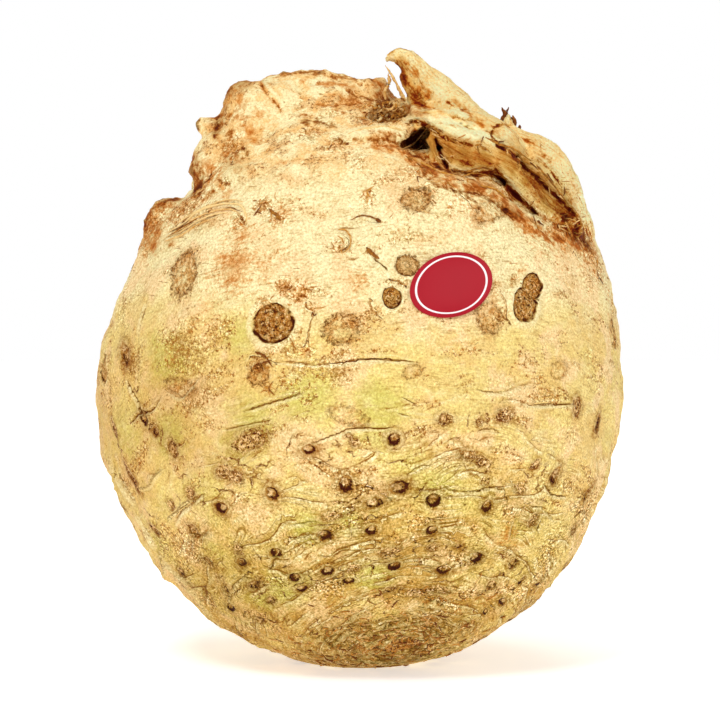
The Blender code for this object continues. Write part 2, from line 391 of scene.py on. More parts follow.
def tubeShell(path, steps=14, around=40, ribs=0.0, seed=1):
    # a round section carried along the path; rings at each end shrink to close it, and ribs run along it
    line = curveThrough(path, steps)
    centre, radius = line[:, :3], np.maximum(line[:, 3], 0.15)
    direction = unit(np.gradient(centre, axis=0))
    side = unit(np.cross(direction, np.array([0.13, 0.94, 0.31])))
    over = np.cross(side, direction)
    capAngles = np.linspace(0, math.pi / 2, 6)[:-1]
    rows = [(0, -math.cos(a) * 0.55, math.sin(a)) for a in capAngles]
    rows += [(i, 0.0, 1.0) for i in range(len(centre))]
    rows += [(len(centre) - 1, math.cos(a) * 0.55, math.sin(a)) for a in capAngles[::-1]]
    pick = np.array([r[0] for r in rows])
    push, scale = np.array([r[1] for r in rows]), np.array([max(r[2], 0.02) for r in rows])
    angle = np.linspace(0, 2 * math.pi, around, endpoint=False)
    ribPlace = np.broadcast_arrays(1.7 * np.cos(angle)[None], 1.7 * np.sin(angle)[None], 0.06 * pick[:, None])
    rib = gradientNoise(np.stack(ribPlace, -1).reshape(-1, 3) + seed, seed).reshape(len(rows), around)
    rib = 1 + ribs * rib
    ringRadius = (radius[pick] * scale)[:, None] * rib
    centreRow = centre[pick] + direction[pick] * (push * radius[pick])[:, None]
    rings = (
        centreRow[:, None]
        + side[pick][:, None] * (ringRadius * np.cos(angle))[..., None]
        + over[pick][:, None] * (ringRadius * np.sin(angle))[..., None]
    )
    return closedTube(rings)


skin = {
    "firstVoxel": 0.8,
    "cutterVoxel": 0.35,
    "voxel": 0.48,
    "firstRelax": 3,
    "relax": 1,
    "ribs": 0.1,
    "ribSeed": 40,
    "triangles": 196000,
}


def mergedSkin():
    # one closed skin round the body and all its roots, with the hollows cut out of it
    shells = [bodyShell()]
    for k, path in enumerate(roots.values()):
        shells.append(tubeShell(path, ribs=skin["ribs"], seed=skin["ribSeed"] + k))
    celeriac = joinedShells("celeriacSkin", shells)
    applied(celeriac, ("REMESH", {"mode": "VOXEL", "voxel_size": skin["firstVoxel"] * metre}))
    mesh = celeriac.data
    setMeshPoints(mesh, averaged(meshPoints(mesh), meshEdges(mesh), skin["firstRelax"]))
    say("first skin has %d points" % len(mesh.vertices))
    cutter = joinedShells("hollowCutter", [tubeShell(p, steps=8, around=20) for p in hollows.values()])
    applied(cutter, ("REMESH", {"mode": "VOXEL", "voxel_size": skin["cutterVoxel"] * metre}))
    applied(celeriac, ("BOOLEAN", {"operation": "DIFFERENCE", "solver": "EXACT", "object": cutter}))
    bpy.data.objects.remove(cutter)
    say("hollows cut")
    applied(celeriac, ("REMESH", {"mode": "VOXEL", "voxel_size": skin["voxel"] * metre}))
    mesh = celeriac.data
    setMeshPoints(mesh, averaged(meshPoints(mesh), meshEdges(mesh), skin["relax"]))
    say("skin has %d points, %d faces" % (len(mesh.vertices), len(mesh.polygons)))
    return celeriac


# marks on the skin

leafEnd = {
    "axis": (0.139, -0.454, -0.880),  # from the middle of the body to the leaf end
    "centre": (0.0, 0.0, 61.0),
    "reach": 61.0,
    "crownArc": 19.0,  # rough crown within this arc of the leaf end
}

# leaf buds and rootlet stubs: azimuth, height, half width, half height, strength
buds = (
    (-22, 73.2, 1.4, 1.2, 0.95), (-11, 55.5, 1.9, 1.5, 1), (-1.5, 57, 1.1, 1, 0.7),
    (-3, 58.7, 0.9, 0.7, 0.5), (6.5, 58, 1.8, 1.9, 1), (17, 62, 2, 1.6, 0.7), (24.5, 61.5, 1, 1.3, 0.4),
    (30.5, 62.4, 2, 1.6, 0.6), (51, 63, 2, 2.4, 0.5), (61, 58.5, 1.3, 2.6, 0.8), (22, 54, 2, 1.3, 0.7),
    (26, 52.2, 2, 1.2, 0.6), (39, 51, 1.2, 1.4, 0.6), (46, 48, 1.6, 2.6, 0.8), (-24, 57, 4.6, 2.2, 0.45),
    (-44.5, 54, 1.6, 2.4, 0.7), (-49.5, 57.5, 1.1, 1.4, 0.8), (-53, 60.5, 1.5, 2.4, 0.9),
    (-61, 74, 2, 3.2, 0.8), (-30.3, 50, 2.2, 1.8, 0.6), (-27.3, 48.8, 1.6, 1.6, 0.6),
    (-19.5, 45.5, 2, 2.3, 1), (-3.5, 48, 2, 2.3, 0.9), (8, 47, 3, 2.2, 0.9), (27, 48, 1.4, 1.2, 0.4),
    (15.5, 44, 2.2, 2, 1), (2.5, 43.5, 2.9, 1.5, 0.8), (28.5, 42, 1.9, 2.1, 1), (36.5, 45.5, 1.8, 1.5, 0.5),
    (62, 42.5, 1.3, 2.6, 0.9), (-32.5, 41.5, 2.1, 1.9, 1), (-41, 44, 1.6, 1.6, 0.5),
    (-49, 40.5, 1.3, 1.3, 0.6), (-62, 46, 1.2, 4, 0.6), (-44, 35, 1.6, 2.2, 0.7), (-6.5, 41, 2.5, 1.3, 0.4),
    (-8.5, 36.5, 2.2, 1.9, 1), (2, 37.5, 1.8, 1.5, 1), (16, 37, 1.8, 1.6, 1), (42.5, 38, 1.6, 1.8, 0.6),
    (-20.5, 32, 1.9, 1.5, 1), (-31, 32, 1.4, 1.2, 0.5), (-31.5, 28.5, 2.2, 1.5, 0.9),
    (-43.5, 27.5, 1.5, 1.7, 0.7), (6.5, 32.5, 2.5, 1.2, 0.6), (17, 32.6, 1.4, 1.2, 0.6),
    (23.5, 32.5, 1.2, 0.9, 0.8), (29.5, 29.5, 2, 1.9, 1), (43, 27, 1.5, 1.7, 0.8), (-8.5, 28, 2, 1.6, 0.9),
    (-2, 28.6, 1.8, 1.2, 0.6), (-3.5, 25.4, 2, 1.1, 1), (8, 28.5, 1.9, 1.5, 1), (21, 27, 2.2, 1.5, 1),
    (-17, 26.5, 1.9, 1.4, 0.9), (-16, 23.5, 2, 1.2, 1), (-30, 23.5, 2.6, 1.4, 0.8), (-42, 21, 1.3, 1, 0.8),
    (-44, 17, 2.2, 1.3, 1), (-27, 19.5, 1.6, 1.1, 0.7), (-36, 14, 1.6, 1.1, 0.7),
    (7.5, 22.6, 1.6, 1.1, 0.7), (22, 22.5, 2.8, 1.1, 0.6), (15.5, 21.5, 2.6, 1, 0.5),
    (38, 22.5, 1.9, 1.4, 0.7), (35.5, 20.5, 1, 0.8, 0.8), (49, 23, 1.2, 1.6, 0.9), (58, 22, 1.2, 1.4, 0.8),
    (47, 18, 2.2, 1.3, 1), (43, 15.5, 1.1, 0.9, 0.9), (62, 34, 1.3, 1.7, 0.7), (-60, 34, 1.4, 1.9, 0.7),
    (-58, 24, 1.5, 1.2, 0.7), (-66, 57, 1.3, 2.6, 0.6),
)
# rows of buds round the sides and back, where none of those stands: arc from the leaf end, how many all round
budRows = ((17, 17), (24, 19), (31, 19), (38.5, 18), (46.5, 17), (55, 13), (66, 11), (78, 8))
budRowsSeed = 8

# corky scars of trimmed side roots: azimuth, height, half width, half height, turn, strength
scars = (
    (-19.5, 83, 4.8, 4.4, 0, 1), (-4.5, 82, 3.9, 3.3, 0, 0.6), (-45, 93, 4, 5.2, 20, 0.6),
    (6.5, 89, 2.1, 2.4, 0, 0.95), (10.5, 96, 2.7, 2.5, 0, 0.78), (14.5, 110, 3.4, 2.9, -10, 0.72),
    (38.5, 86.5, 3.4, 4.2, 25, 0.9), (42, 90.5, 2.7, 3.4, 35, 0.88), (28.5, 84, 3, 3.4, 0, 0.5),
    (10.5, 72.5, 2.4, 1.4, -15, 0.35), (35, 107, 4.8, 2.3, -25, 0.4), (64, 102, 2.6, 2.8, 0, 0.6),
    (46, 71.5, 2.6, 1.9, -30, 0.3), (-22, 71.5, 2.4, 2.2, 0, 0.66), (-42, 68, 4.6, 1.9, 32, 0.4),
    (-3, 63, 4.4, 2, 28, 0.35), (-72, 70, 2.4, 3.4, 0, 0.8), (74, 78, 2.2, 3.6, 0, 0.7),
    (118, 88, 4.2, 3.8, 0, 0.9), (146, 74, 3.6, 3.4, 20, 0.7), (166, 94, 4.6, 4, 0, 0.95),
    (-168, 80, 3.4, 3, 0, 0.6), (-146, 96, 4.2, 3.7, 10, 0.85), (-128, 78, 3.4, 3.6, 0, 0.7),
    (-104, 88, 3.6, 4.2, 0, 0.85), (-112, 66, 2.8, 2.4, 0, 0.5), (132, 104, 3.4, 2.8, 0, 0.8),
    (-160, 108, 3, 2.6, 0, 0.7), (96, 98, 3, 3.6, 0, 0.7), (108, 70, 2.6, 2.4, 0, 0.5),
    (178, 66, 2.8, 2.2, 0, 0.4),
)

# cracks and creases as (azimuth, height) points, with half width, depth and how dark they are
cracks = (
    (((-75, 51), (-72, 46), (-68, 42), (-66, 38)), 1.3, 1, 1),
    (((-69, 37), (-68, 33), (-66, 30), (-67, 27.6)), 1.3, 1, 1),
    (((-67, 28), (-64.6, 25), (-62, 22.6), (-57, 20.6)), 1.2, 0.9, 1),
    (((-60, 20.6), (-62, 17.4), (-65, 14), (-66, 11.6)), 1.1, 0.8, 0.9),
    (((71, 46), (69, 42), (66, 37)), 1, 0.8, 0.9),
    (((64, 30), (62, 26), (59, 22.6)), 1, 0.8, 0.9),
    (((-21, 74), (-17, 74.6), (-10, 74.2), (-4, 74.6), (0, 75.3), (6, 75.2), (13, 74.4)), 0.5, 0.7, 1),
    (((-11, 56.6), (-6, 58.6), (-2, 60.2), (4, 60.2), (8, 60.4)), 0.5, 0.6, 0.8),
    (((-30, 59), (-25, 60.4), (-18, 62)), 0.45, 0.45, 0.5),
    (((24, 68.4), (27, 67.6), (31, 67.6), (35, 68.6), (40, 69.4)), 0.5, 0.6, 0.8),
    (((29, 65.2), (32, 65.9), (35, 65.2), (38, 64.2), (44, 64), (51, 63.6)), 0.5, 0.65, 0.85),
    (((7.5, 67.4), (10, 66), (12.4, 64.8)), 0.4, 0.4, 0.6),
    (((7, 63.6), (10, 62.8), (14, 62.2)), 0.4, 0.4, 0.6),
    (((-51, 35.6), (-47, 38.6), (-42, 41.4), (-38, 43.8), (-36, 44.4)), 0.6, 0.8, 1),
    (((-40, 21.2), (-36, 23.4), (-33, 24.8), (-29, 25.1)), 0.55, 0.6, 0.7),
    (((17.5, 46.6), (21, 45.8), (25, 45.6), (29, 46.4), (33.6, 45)), 0.55, 0.6, 0.75),
    (((9, 49.6), (12, 51.6), (15, 51.8)), 0.4, 0.4, 0.5),
    (((40, 41.3), (45, 40.4), (51, 36.8)), 0.45, 0.5, 0.8),
    (((42.6, 46.6), (46.4, 43.6), (52, 42.6)), 0.5, 0.6, 0.9),
    (((-20, 38.2), (-15, 38.4), (-11, 39.6), (-8, 38.8)), 0.45, 0.45, 0.5),
    (((-19, 35.2), (-14, 35.4), (-11, 37)), 0.45, 0.45, 0.5),
    (((-57, 101.2), (-50, 104.4), (-44, 106.8), (-38, 107.8), (-33.4, 106.6)), 0.4, 0.4, 0.8),
    (((-57, 100.2), (-50, 102.8), (-44, 105.2), (-38, 106.4)), 0.4, 0.4, 0.7),
    (((-56, 102.4), (-50, 105.8), (-44, 108.4), (-37, 109.2), (-32, 107.8)), 0.4, 0.4, 0.8),
    (((-49, 30), (-45, 32.6), (-41, 34.2), (-36, 34.8)), 0.45, 0.5, 0.6),
    (((-46, 67), (-42, 65.6), (-38.6, 68.4), (-36.6, 70.4)), 0.45, 0.5, 0.7),
    (((-60, 68.6), (-57.6, 66), (-55, 63.4), (-53.4, 60.6)), 0.5, 0.5, 0.8),
    (((-56.6, 87), (-56, 83), (-57, 77)), 0.5, 0.5, 0.7),
    (((-68, 52), (-68.6, 47), (-66.6, 43)), 0.5, 0.6, 0.8),
    (((-3, 105.4), (0, 106.1), (2.6, 105.8), (4.4, 105.2)), 0.4, 0.4, 0.8),
    (((2.6, 98), (4.4, 96.8), (6, 95)), 0.6, 0.6, 0.9),
    (((-6.4, 103), (-3.8, 102.4), (-3.2, 100.4), (-4.6, 98.6)), 0.4, -0.4, 0.7),
    (((26, 111), (28.4, 109.4), (29.4, 107.2)), 0.5, 0.5, 0.8),
    (((70, 79), (71, 76), (72.6, 72.6)), 0.5, 0.6, 0.9),
    (((58, 86), (60.4, 83), (62, 80)), 0.45, 0.5, 0.7),
    (((53, 93.6), (54.4, 90.6), (56, 88.6)), 0.45, 0.5, 0.7),
    (((46.4, 38.6), (45.4, 36.4), (45.2, 34.4)), 0.5, 0.5, 0.8),
    (((37.6, 38.8), (37.2, 36), (37.8, 33)), 0.5, 0.5, 0.7),
)
wrinkles = {"count": 18, "seed": 21, "lowest": 14.0, "highest": 92.0}

# blotches as (azimuth, height, spread, strength)
stains = (
    (-31, 101.5, 5.5, 0.7), (-30, 94.5, 6.5, 1), (-24, 95, 4.5, 0.7), (-19, 97, 4, 0.4),
    (-0.5, 92.8, 3, 0.8), (-35, 86, 4.5, 0.45), (-36, 82, 4, 0.4), (-44, 76, 4.5, 0.5), (23.5, 78, 3, 0.4),
    (36.5, 34.5, 3.2, 0.9), (-27, 49, 2.6, 0.6), (-44, 34.5, 3.2, 0.6), (30, 109, 7, 0.5),
    (46, 103, 6, 0.6), (56, 100, 6, 0.6), (66, 96, 6, 0.5), (74, 88, 6, 0.5), (-66, 100, 6, 0.8),
    (-60, 108, 6, 0.7), (-20, 107, 4, 0.6), (-14, 92, 5, 0.3), (8, 104, 6, 0.25), (40, 93, 3.6, 0.6),
    (-84, 82, 7, 0.5), (110, 96, 9, 0.7), (140, 84, 8, 0.5), (170, 102, 9, 0.7), (-150, 88, 8, 0.6),
    (-120, 98, 8, 0.8), (-100, 60, 8, 0.4),
)
greens = (
    (-46, 74, 7, 0.8), (-46, 57, 7, 0.7), (-27, 80, 6, 0.6), (-12, 67, 8, 0.7), (3, 65, 7, 0.8),
    (-23, 61, 7, 0.7), (-27, 56, 6, 0.6), (-22, 23, 6, 0.8), (11, 52, 6, 0.5), (-38, 44, 9, 0.5),
    (-60, 56, 8, 0.5), (-52, 40, 8, 0.4), (-4, 45, 7, 0.3), (24, 44, 6, 0.3), (3, 26, 5, 0.8),
    (-16, 25, 5, 0.6), (-3, 39, 5, 0.6), (16, 48, 6, 0.6), (-12, 37, 5, 0.8), (3, 59, 6, 0.6),
    (-30, 20, 5, 0.7), (38, 36, 5, 0.4), (-62, 31, 8, 0.5), (-40, 31, 6, 0.5), (-110, 56, 12, 0.6),
    (-150, 50, 12, 0.5), (160, 54, 12, 0.5), (110, 48, 12, 0.4),
)
smudges = (
    (-41, 76, 6.5, 0.8), (-37, 74.5, 5, 0.7), (-38, 66, 6, 0.6), (-5, 72.3, 3.4, 0.8),
    (-16, 77.6, 3.2, 0.7), (-57, 71, 5, 0.6), (-70, 66, 7, 0.5), (0, 70, 4, 0.3), (30, 66.6, 6, 0.3),
    (60, 70, 6, 0.5), (50, 58, 6, 0.3), (-56, 30, 7, 0.5), (56, 30, 7, 0.5), (-66, 84, 6, 0.5),
    (120, 76, 8, 0.6), (160, 70, 8, 0.6), (-140, 74, 8, 0.6), (-100, 76, 8, 0.5),
)

# broad parts that are darker: azimuth, height, spread, strength
shades = (
    (-50, 18, 20, 1), (-72, 52, 24, 0.8), (-48, 62, 20, 0.8), (0, 2, 22, 0.45), (150, 20, 24, 0.6),
    (-120, 40, 22, 0.5), (70, 14, 14, 0.4),
)

# rough corky patches: azimuth, height, spread, strength
corks = (
    (-26.5, 108.3, 2.4, 1), (-21.5, 105.2, 1.8, 1.1), (-32, 104.6, 1.6, 0.9), (-43, 112.8, 1.6, 0.9),
    (-22, 87.2, 1.6, 1), (-17.5, 90.6, 2, 1.1), (-13.6, 89.2, 2.2, 1), (-10.5, 86.4, 1.6, 0.9),
    (-21.6, 73.8, 1.5, 1.4), (-20.4, 68.6, 1, 0.9), (-12, 77.2, 2.2, 0.8), (18, 111.5, 3, 0.7),
    (1.5, 111.2, 1.5, 1.2), (-5.5, 100.5, 1.6, 0.7), (-56, 108, 7, 0.9), (-70, 104, 8, 0.9),
    (-78, 96, 7, 0.7), (-50, 121, 5, 0.8), (-53, 114, 4, 0.9), (-21, 125.5, 4, 0.75), (-9, 122.5, 3.4, 0.8),
    (-15, 130, 4, 0.4), (6, 128, 4, 0.9), (0, 118, 4, 0.5), (7, 114, 3.5, 0.4), (62, 103, 6, 0.9),
    (72, 96, 8, 0.8), (80, 84, 7, 0.5), (54, 112, 5, 0.6), (14, 116, 4, 0.6), (26, 108, 4, 0.5),
    (120, 104, 9, 0.7), (150, 112, 9, 0.8), (-160, 116, 9, 0.8), (-125, 108, 9, 0.7), (-100, 100, 8, 0.7),
    (-47, 30, 5, 0.4), (52, 20, 6, 0.5),
)

# carved strokes on the front of the root end: (x, z) points, half width, rise towards the front (below zero
# cuts in), then how much dark (brown with painted shade in the crevices), rust, cream (pale with painted
# highlight on lips and crests) and soft painted shade each one leaves; what is left out is 0
strokes = (
    (((8.4, 140.2), (8.9, 137.9), (10.3, 135.4), (12.1, 132.7), (13.9, 130.4)), 1.6, -0.8, 0.6, 0.6, 0, 0.7),
    (((10.4, 140), (11.6, 137.4), (13.2, 135), (15.4, 132.2)), 1.2, -0.3, 0.35, 0.8),
    (((11, 126.6), (13, 126.4), (15.2, 125.3), (16.8, 124.2), (18.8, 123), (21.5, 122), (24.7, 121.4)),
        0.8, -1, 0.8, 0.3),
    (((11, 127.6), (13, 127.9), (15.6, 127), (18.6, 125.2), (22, 123.8), (26, 123)), 1, 0.9, 0, 0, 0.9),
    (((15.2, 123.8), (18.8, 121), (22.4, 119.6), (26.5, 118.7), (30.3, 117.4)), 2.3, 0, 0.3, 0.5, 0, 0.9),
    (((19, 118.6), (23, 117.4), (27.4, 117.2), (30.6, 116.2)), 1.6, -0.4, 0.5, 0.3, 0, 0.7),
    (((28.9, 123.5), (30.5, 121.3), (32.3, 120.4), (34.6, 118.5), (36.8, 116.3), (39.1, 114.5),
        (41.4, 111.8), (43.6, 110), (46.4, 107.2), (48.6, 105)), 0.7, -0.8, 0.85, 0.2),
    (((29.4, 125), (31.2, 123), (34, 121.2), (37.6, 118.2), (40.8, 115.2), (44, 111.8), (47, 108.8)),
        1, 0.6, 0, 0.3, 0.4),
    (((31.6, 119.4), (35.4, 116.4), (39.2, 112.8), (43, 109.2), (47, 105.6)), 3, -0.5, 0.25, 0.3, 0, 1),
    (((30.6, 117), (33.8, 113.6), (36.9, 110.6), (39.9, 107.8), (43.2, 105.4)), 1.2, 0.4, 0, 0.3, 0.35),
    (((19.1, 115.8), (22, 115.2), (25.3, 114.9), (28.4, 115.4), (30.3, 115.3), (32.1, 113.1),
        (33.7, 110.8), (37.1, 107.9), (39.4, 106)), 1, -1.6, 0.84, 0.4),
    (((38.4, 106.6), (43.4, 103.7), (46.1, 102.8)), 0.9, -0.6, 0.5, 0.6, 0, 0.4),
    (((28.8, 115), (31.3, 113.6), (33.3, 111.4), (35.4, 109.2)), 1.1, -1, 0.9, 0.2),
    (((45.6, 104.6), (49, 102.2), (51.6, 99)), 2.4, 0.3, 0.75, 0.8),
    (((47.4, 102), (50, 100), (52.6, 95.6)), 1.2, -0.8, 0.9, 0.5),
    (((10, 119.3), (12.9, 117.7), (15.8, 115.9), (18.7, 114.6), (22.3, 113.7), (26.3, 113), (29.7, 111.5),
        (32.4, 109.1), (35.3, 106.6), (38.6, 104.4)), 1, 0.9, 0, 0.9, 0.15),
    (((9, 119.8), (13.4, 116.4), (17.8, 113.8), (22.3, 113), (27, 112), (31, 109.4), (35, 105.4),
        (40, 102), (45.4, 99.6)), 1.8, -0.2, 0.42, 1, 0, 0.25),
    (((12, 116), (17.4, 112.4), (22.3, 111.2), (27, 110.2), (31, 107.4), (34, 104.8)), 0.6, -0.4, 0.7, 0.4),
    (((22.6, 110.6), (25, 109), (26.4, 106.6)), 0.5, -0.3, 0.8, 0.3),
    (((28.4, 108.4), (31.4, 107.6), (34.4, 105.2)), 0.6, -0.3, 0.7, 0.4),
    (((1.6, 124), (5, 123.6), (8.6, 123.4)), 1.2, 0, 0.5, 0.7),
    (((43.6, 102.4), (48.4, 99.4), (52.6, 94.4)), 3, 0, 0.3, 0.9, 0, 0.3),
    (((9, 121.8), (10.6, 122), (12.3, 122.8), (13.6, 124.2)), 2.2, -0.3, 0.9, 0.2, 0, 0.6),
    (((12.2, 122), (12.8, 120.6)), 1.3, -0.3, 1.1),
    (((-3, 124.2), (1.3, 124.6), (4, 125.2), (6.7, 125.2), (9.3, 124.8)), 1.3, 1.1, 0, 0, 0.8),
    (((-2, 122.8), (2, 122.6), (5.6, 122.6), (8.2, 121.6)), 0.7, -0.8, 0.6, 0.6),
    (((16.5, 122.6), (17.2, 120.6), (18.1, 118.3), (19, 116.3)), 0.55, -2, 1),
    (((14.3, 124), (15.2, 121.8), (16.4, 119.4), (17.8, 116.8)), 0.9, 0.5, 0.35, 0.3, 0, 0.9),
    (((19.1, 131), (20.9, 129.8), (23.4, 128.9)), 0.4, -0.3, 0.45, 0.5),
    (((13, 129), (15.8, 129.5), (18.7, 128.2), (21.6, 127.6), (24.3, 126.9)), 0.5, -0.4, 0.2, 0.6),
    (((3.6, 130.6), (5.8, 130.1), (8.1, 128.9), (6.9, 127.2), (4, 127.6)), 1.8, -0.6, 0.8, 0.6),
    (((-4.4, 131.6), (-1, 130.6), (2.4, 129), (4, 128)), 1.2, -0.5, 0.35, 0.7),
    (((-14.4, 128), (-10.4, 127.8), (-6, 128.4), (-2.6, 128.2)), 0.6, -0.6, 0.5, 0.6),
    (((-23.6, 136), (-22.6, 134), (-21.4, 132.4), (-19.6, 130.6), (-18.2, 128.6)), 0.4, -0.5, 0.6, 0.8),
    (((-22.4, 135.4), (-20.5, 133.4), (-18.7, 131.2), (-17.4, 128.9)), 0.5, 0.4, 0, 0.2, 0.8),
    (((-27.6, 121.6), (-25.8, 119)), 0.9, -0.3, 0.75, 0.4),
    (((-32.2, 113.4), (-29.6, 112.6)), 0.7, -0.3, 0.8, 0.4),
    (((-27.6, 106.4), (-25.8, 104)), 0.6, -0.3, 0.8, 0.4),
    (((-37.6, 124.2), (-37.9, 125.6), (-37.5, 127.2)), 0.8, -0.4, 0.8, 0.6),
    (((-33.8, 123), (-33.2, 125.4), (-33.5, 127.6)), 0.6, -0.4, 0.75, 0.6),
    (((-38.6, 118.2), (-39, 115.6), (-38, 112.8), (-38.2, 110.6)), 2.2, -0.3, 0.55, 0.9, 0, 0.6),
    (((-33.4, 123), (-33, 128), (-31, 132.6), (-28.4, 135), (-25, 136)), 1.8, 0, 0.5, 0.7, 0, 0.6),
    (((-38.6, 110.2), (-35.4, 109.6), (-32.4, 111.4)), 1.3, -0.5, 0.6, 0.7),
    (((-20.4, 137), (-14, 138), (-6, 136.6), (2, 136)), 1.3, 0, 0.6, 0.7),
    (((-30, 128.4), (-26.4, 126), (-24, 122.6)), 3.4, 0, 0.1, 0.55),
    (((-36, 117.6), (-33.4, 114.6), (-30.6, 111.4)), 3.4, 0, 0.25, 0.6),
    (((-14, 135.4), (-8, 134.8), (-2, 134.2)), 1.1, 0, 0.2, 0.6),
    (((-13, 133.2), (-9, 132.6)), 0.35, -0.2, 0.6, 0.3),
    (((-3.6, 133.4), (0.4, 131.6), (3, 131)), 0.9, -0.3, 0.6, 0.7),
    (((-11, 130.4), (-6, 130), (-1, 130.4)), 0.5, -0.2, 0.5, 0.6),
    (((-7, 132.8), (-2, 131), (1.6, 129)), 1.6, 0, 0.45, 0.6),
    (((-13.6, 126.4), (-10, 126.8), (-6.6, 125.6)), 1.3, -0.3, 0.6, 0.4),
    (((-6.8, 122.8), (-3.4, 121.8)), 0.9, -0.3, 0.7, 0.4),
    (((2.6, 121.4), (6, 120.6), (9.6, 121)), 1.2, -0.2, 0.4, 0.9),
    (((-49.6, 102.4), (-48.6, 105.8), (-45.6, 108.2), (-42.6, 108.8)), 2.2, 0, 0.5, 0.8, 0, 0.7),
    (((7.6, 138.8), (8.8, 136.4), (10.2, 133.8), (12.2, 131.2), (14.4, 129.4)), 1.3, 0, 0.5, 0.8, 0, 0.7),
    (((5.4, 141.4), (8, 142.6), (11, 142.8), (13.6, 141.4)), 0.6, 0, 0.6, 0.6),
    (((28.9, 123.5), (29.6, 125), (31.4, 125.8), (34, 125.4)), 0.5, -0.4, 0.7, 0.4),
    (((36.6, 122.6), (41.6, 120.4), (45, 116.4), (47.6, 111), (50, 105)), 3, 0, 0, 0.2),
    (((34, 123.4), (38.6, 121.4), (42.6, 117.4)), 0.9, 0, 0.5, 0.6),
    (((40, 117.4), (43.6, 114.4), (46.2, 110.4)), 0.7, -0.2, 0.6, 0.4),
    (((21, 131), (26, 126.6), (31, 123.6)), 1.2, 0, 0.1, 0.6),
    (((16.4, 126.6), (20.4, 125.8), (24.6, 124.8)), 0.6, 0, 0, 0.4),
    (((-31.4, 117.6), (-27, 118.4), (-22.6, 117.6), (-17.6, 117.6), (-13, 118.4)), 0.7, -0.6, 0.15, 0.5),
    (((11, 119.6), (13.6, 118.4), (16.4, 116.8), (19.4, 115.4)), 1.4, 0, 0.6, 0.9, 0, 0.7),
    (((17.6, 127), (22, 125.6), (26.6, 124), (31, 121.6)), 1.4, 0, 0, 0, 0.8),
    (((16, 134.6), (20, 130.6), (24.4, 126.8)), 2, 0, 0, 0, 0.6),
    (((2.6, 134.8), (4.8, 132.4), (6.2, 130.2)), 2.2, 0, 0.4, 0.8, 0, 0.5),
    (((10, 129.8), (12.4, 128.8), (15, 128.6)), 1.6, 0, 0.3, 0.7, 0, 0.3),
    (((32.6, 117.6), (36.6, 113.4), (40.6, 109.4), (44.4, 106.4)), 2.2, 0, 0, 0.2, 0, 0.8),
    (((12.4, 125.6), (16, 123.4), (19.6, 121.4)), 1.2, 0, 0.3, 0.3, 0, 0.7),
    (((4.4, 131.2), (8, 130), (10.6, 128.6)), 2.4, 0, 0.2, 0.4, 0, 0.5),
    (((-31.6, 121), (-30.4, 118.6), (-27.6, 116.4)), 2.6, 0, 0.1, 0.5, 0, 0.35),
    (((-44, 98), (-41.4, 101.4), (-37, 104), (-32.4, 104.6)), 1, -0.3, 0.4, 0.4, 0, 0.4),
    (((-46.8, 96), (-47.6, 99.6), (-46.4, 103.4)), 2.4, 0, 0.3, 0.7, 0, 0.4),
    (((-29, 131.4), (-25.6, 129.6), (-21, 128)), 3, 0, 0.25, 0.5),
    (((-31.4, 129.6), (-29.6, 126.4), (-30.2, 122.8)), 1.4, -0.2, 0.5, 0.5),
    (((-38, 117.4), (-36.6, 114.6), (-36.8, 111.4)), 1.4, -0.2, 0.6, 0.7),
    (((-28.8, 120.2), (-25.8, 117.2), (-23.4, 113.6)), 1.2, -0.2, 0.5, 0.4),
    (((9.6, 120.6), (12.4, 119.6), (15, 118.8)), 0.9, 0, 0.55, 0.8),
    (((-36, 112.6), (-37.4, 108.4), (-39.6, 104.4), (-42.6, 101.4)), 0.8, -0.8, 0.7, 0.5),
)


def leafCoordinates(points):
    # arc from the leaf end over the body, which is the angle between the point's direction and the leaf axis
    # times the reach, and the point's two offsets across that axis
    axis = unit(np.array(leafEnd["axis"]))
    away = points - np.array(leafEnd["centre"])
    arc = np.arccos(np.clip(unit(away) @ axis, -1, 1)) * leafEnd["reach"]
    side = unit(np.cross(axis, np.array([0.0, 0.0, 1.0])))
    return arc, away @ side, away @ np.cross(side, axis)


def leafPoint(arc, turn):
    # the wall's point at an arc and a turn about the leaf axis: out along that direction to the egg's wall
    axis = unit(np.array(leafEnd["axis"]))
    side = unit(np.cross(axis, np.array([0.0, 0.0, 1.0])))
    over = np.cross(side, axis)
    angle = np.asarray(arc) / leafEnd["reach"]
    turn = np.asarray(turn)
    way = (
        axis * np.cos(angle)[..., None]
        + side * (np.sin(angle) * np.cos(turn))[..., None]
        + over * (np.sin(angle) * np.sin(turn))[..., None]
    )
    point = np.array(leafEnd["centre"]) + way * leafEnd["reach"]
    azimuth = np.degrees(np.arctan2(point[..., 0], -point[..., 1] / body["depthRatio"]))
    return wallPoint(azimuth, np.clip(point[..., 2], 0.5, 130))


def tangents(points):
    # at each point: the way round the leaf axis and the way away from the leaf end
    axis = unit(np.array(leafEnd["axis"]))
    outward = unit(points - np.array(leafEnd["centre"]))
    ringWay = unit(np.cross(outward, axis))
    return ringWay, np.cross(ringWay, outward)


def allBuds():
    rng = np.random.default_rng(budRowsSeed)
    rows = [np.array([[*wallPoint(a, h), wide, tall, strength] for a, h, wide, tall, strength in buds])]
    known = rows[0][:, :3]
    for arc, count in budRows:
        turn = np.linspace(0, 2 * math.pi, count, endpoint=False) + rng.uniform(0, 6.28)
        turn = turn + rng.normal(0, 0.05, count)
        place = leafPoint(arc + rng.normal(0, 1.0, count), turn)
        azimuth = np.degrees(np.arctan2(place[:, 0], -place[:, 1] / body["depthRatio"]))
        clear = np.linalg.norm(place[:, None] - known[None], axis=2).min(1) > 8
        clear &= (np.abs(azimuth) > 62) | (arc < 16)
        wide = rng.uniform(1.4, 2.2, count)
        tall = wide * rng.uniform(0.7, 1.1, count)
        made = np.column_stack([place, wide, tall, rng.uniform(0.5, 1.0, count)])
        rows.append(made[clear])
    return np.vstack(rows)


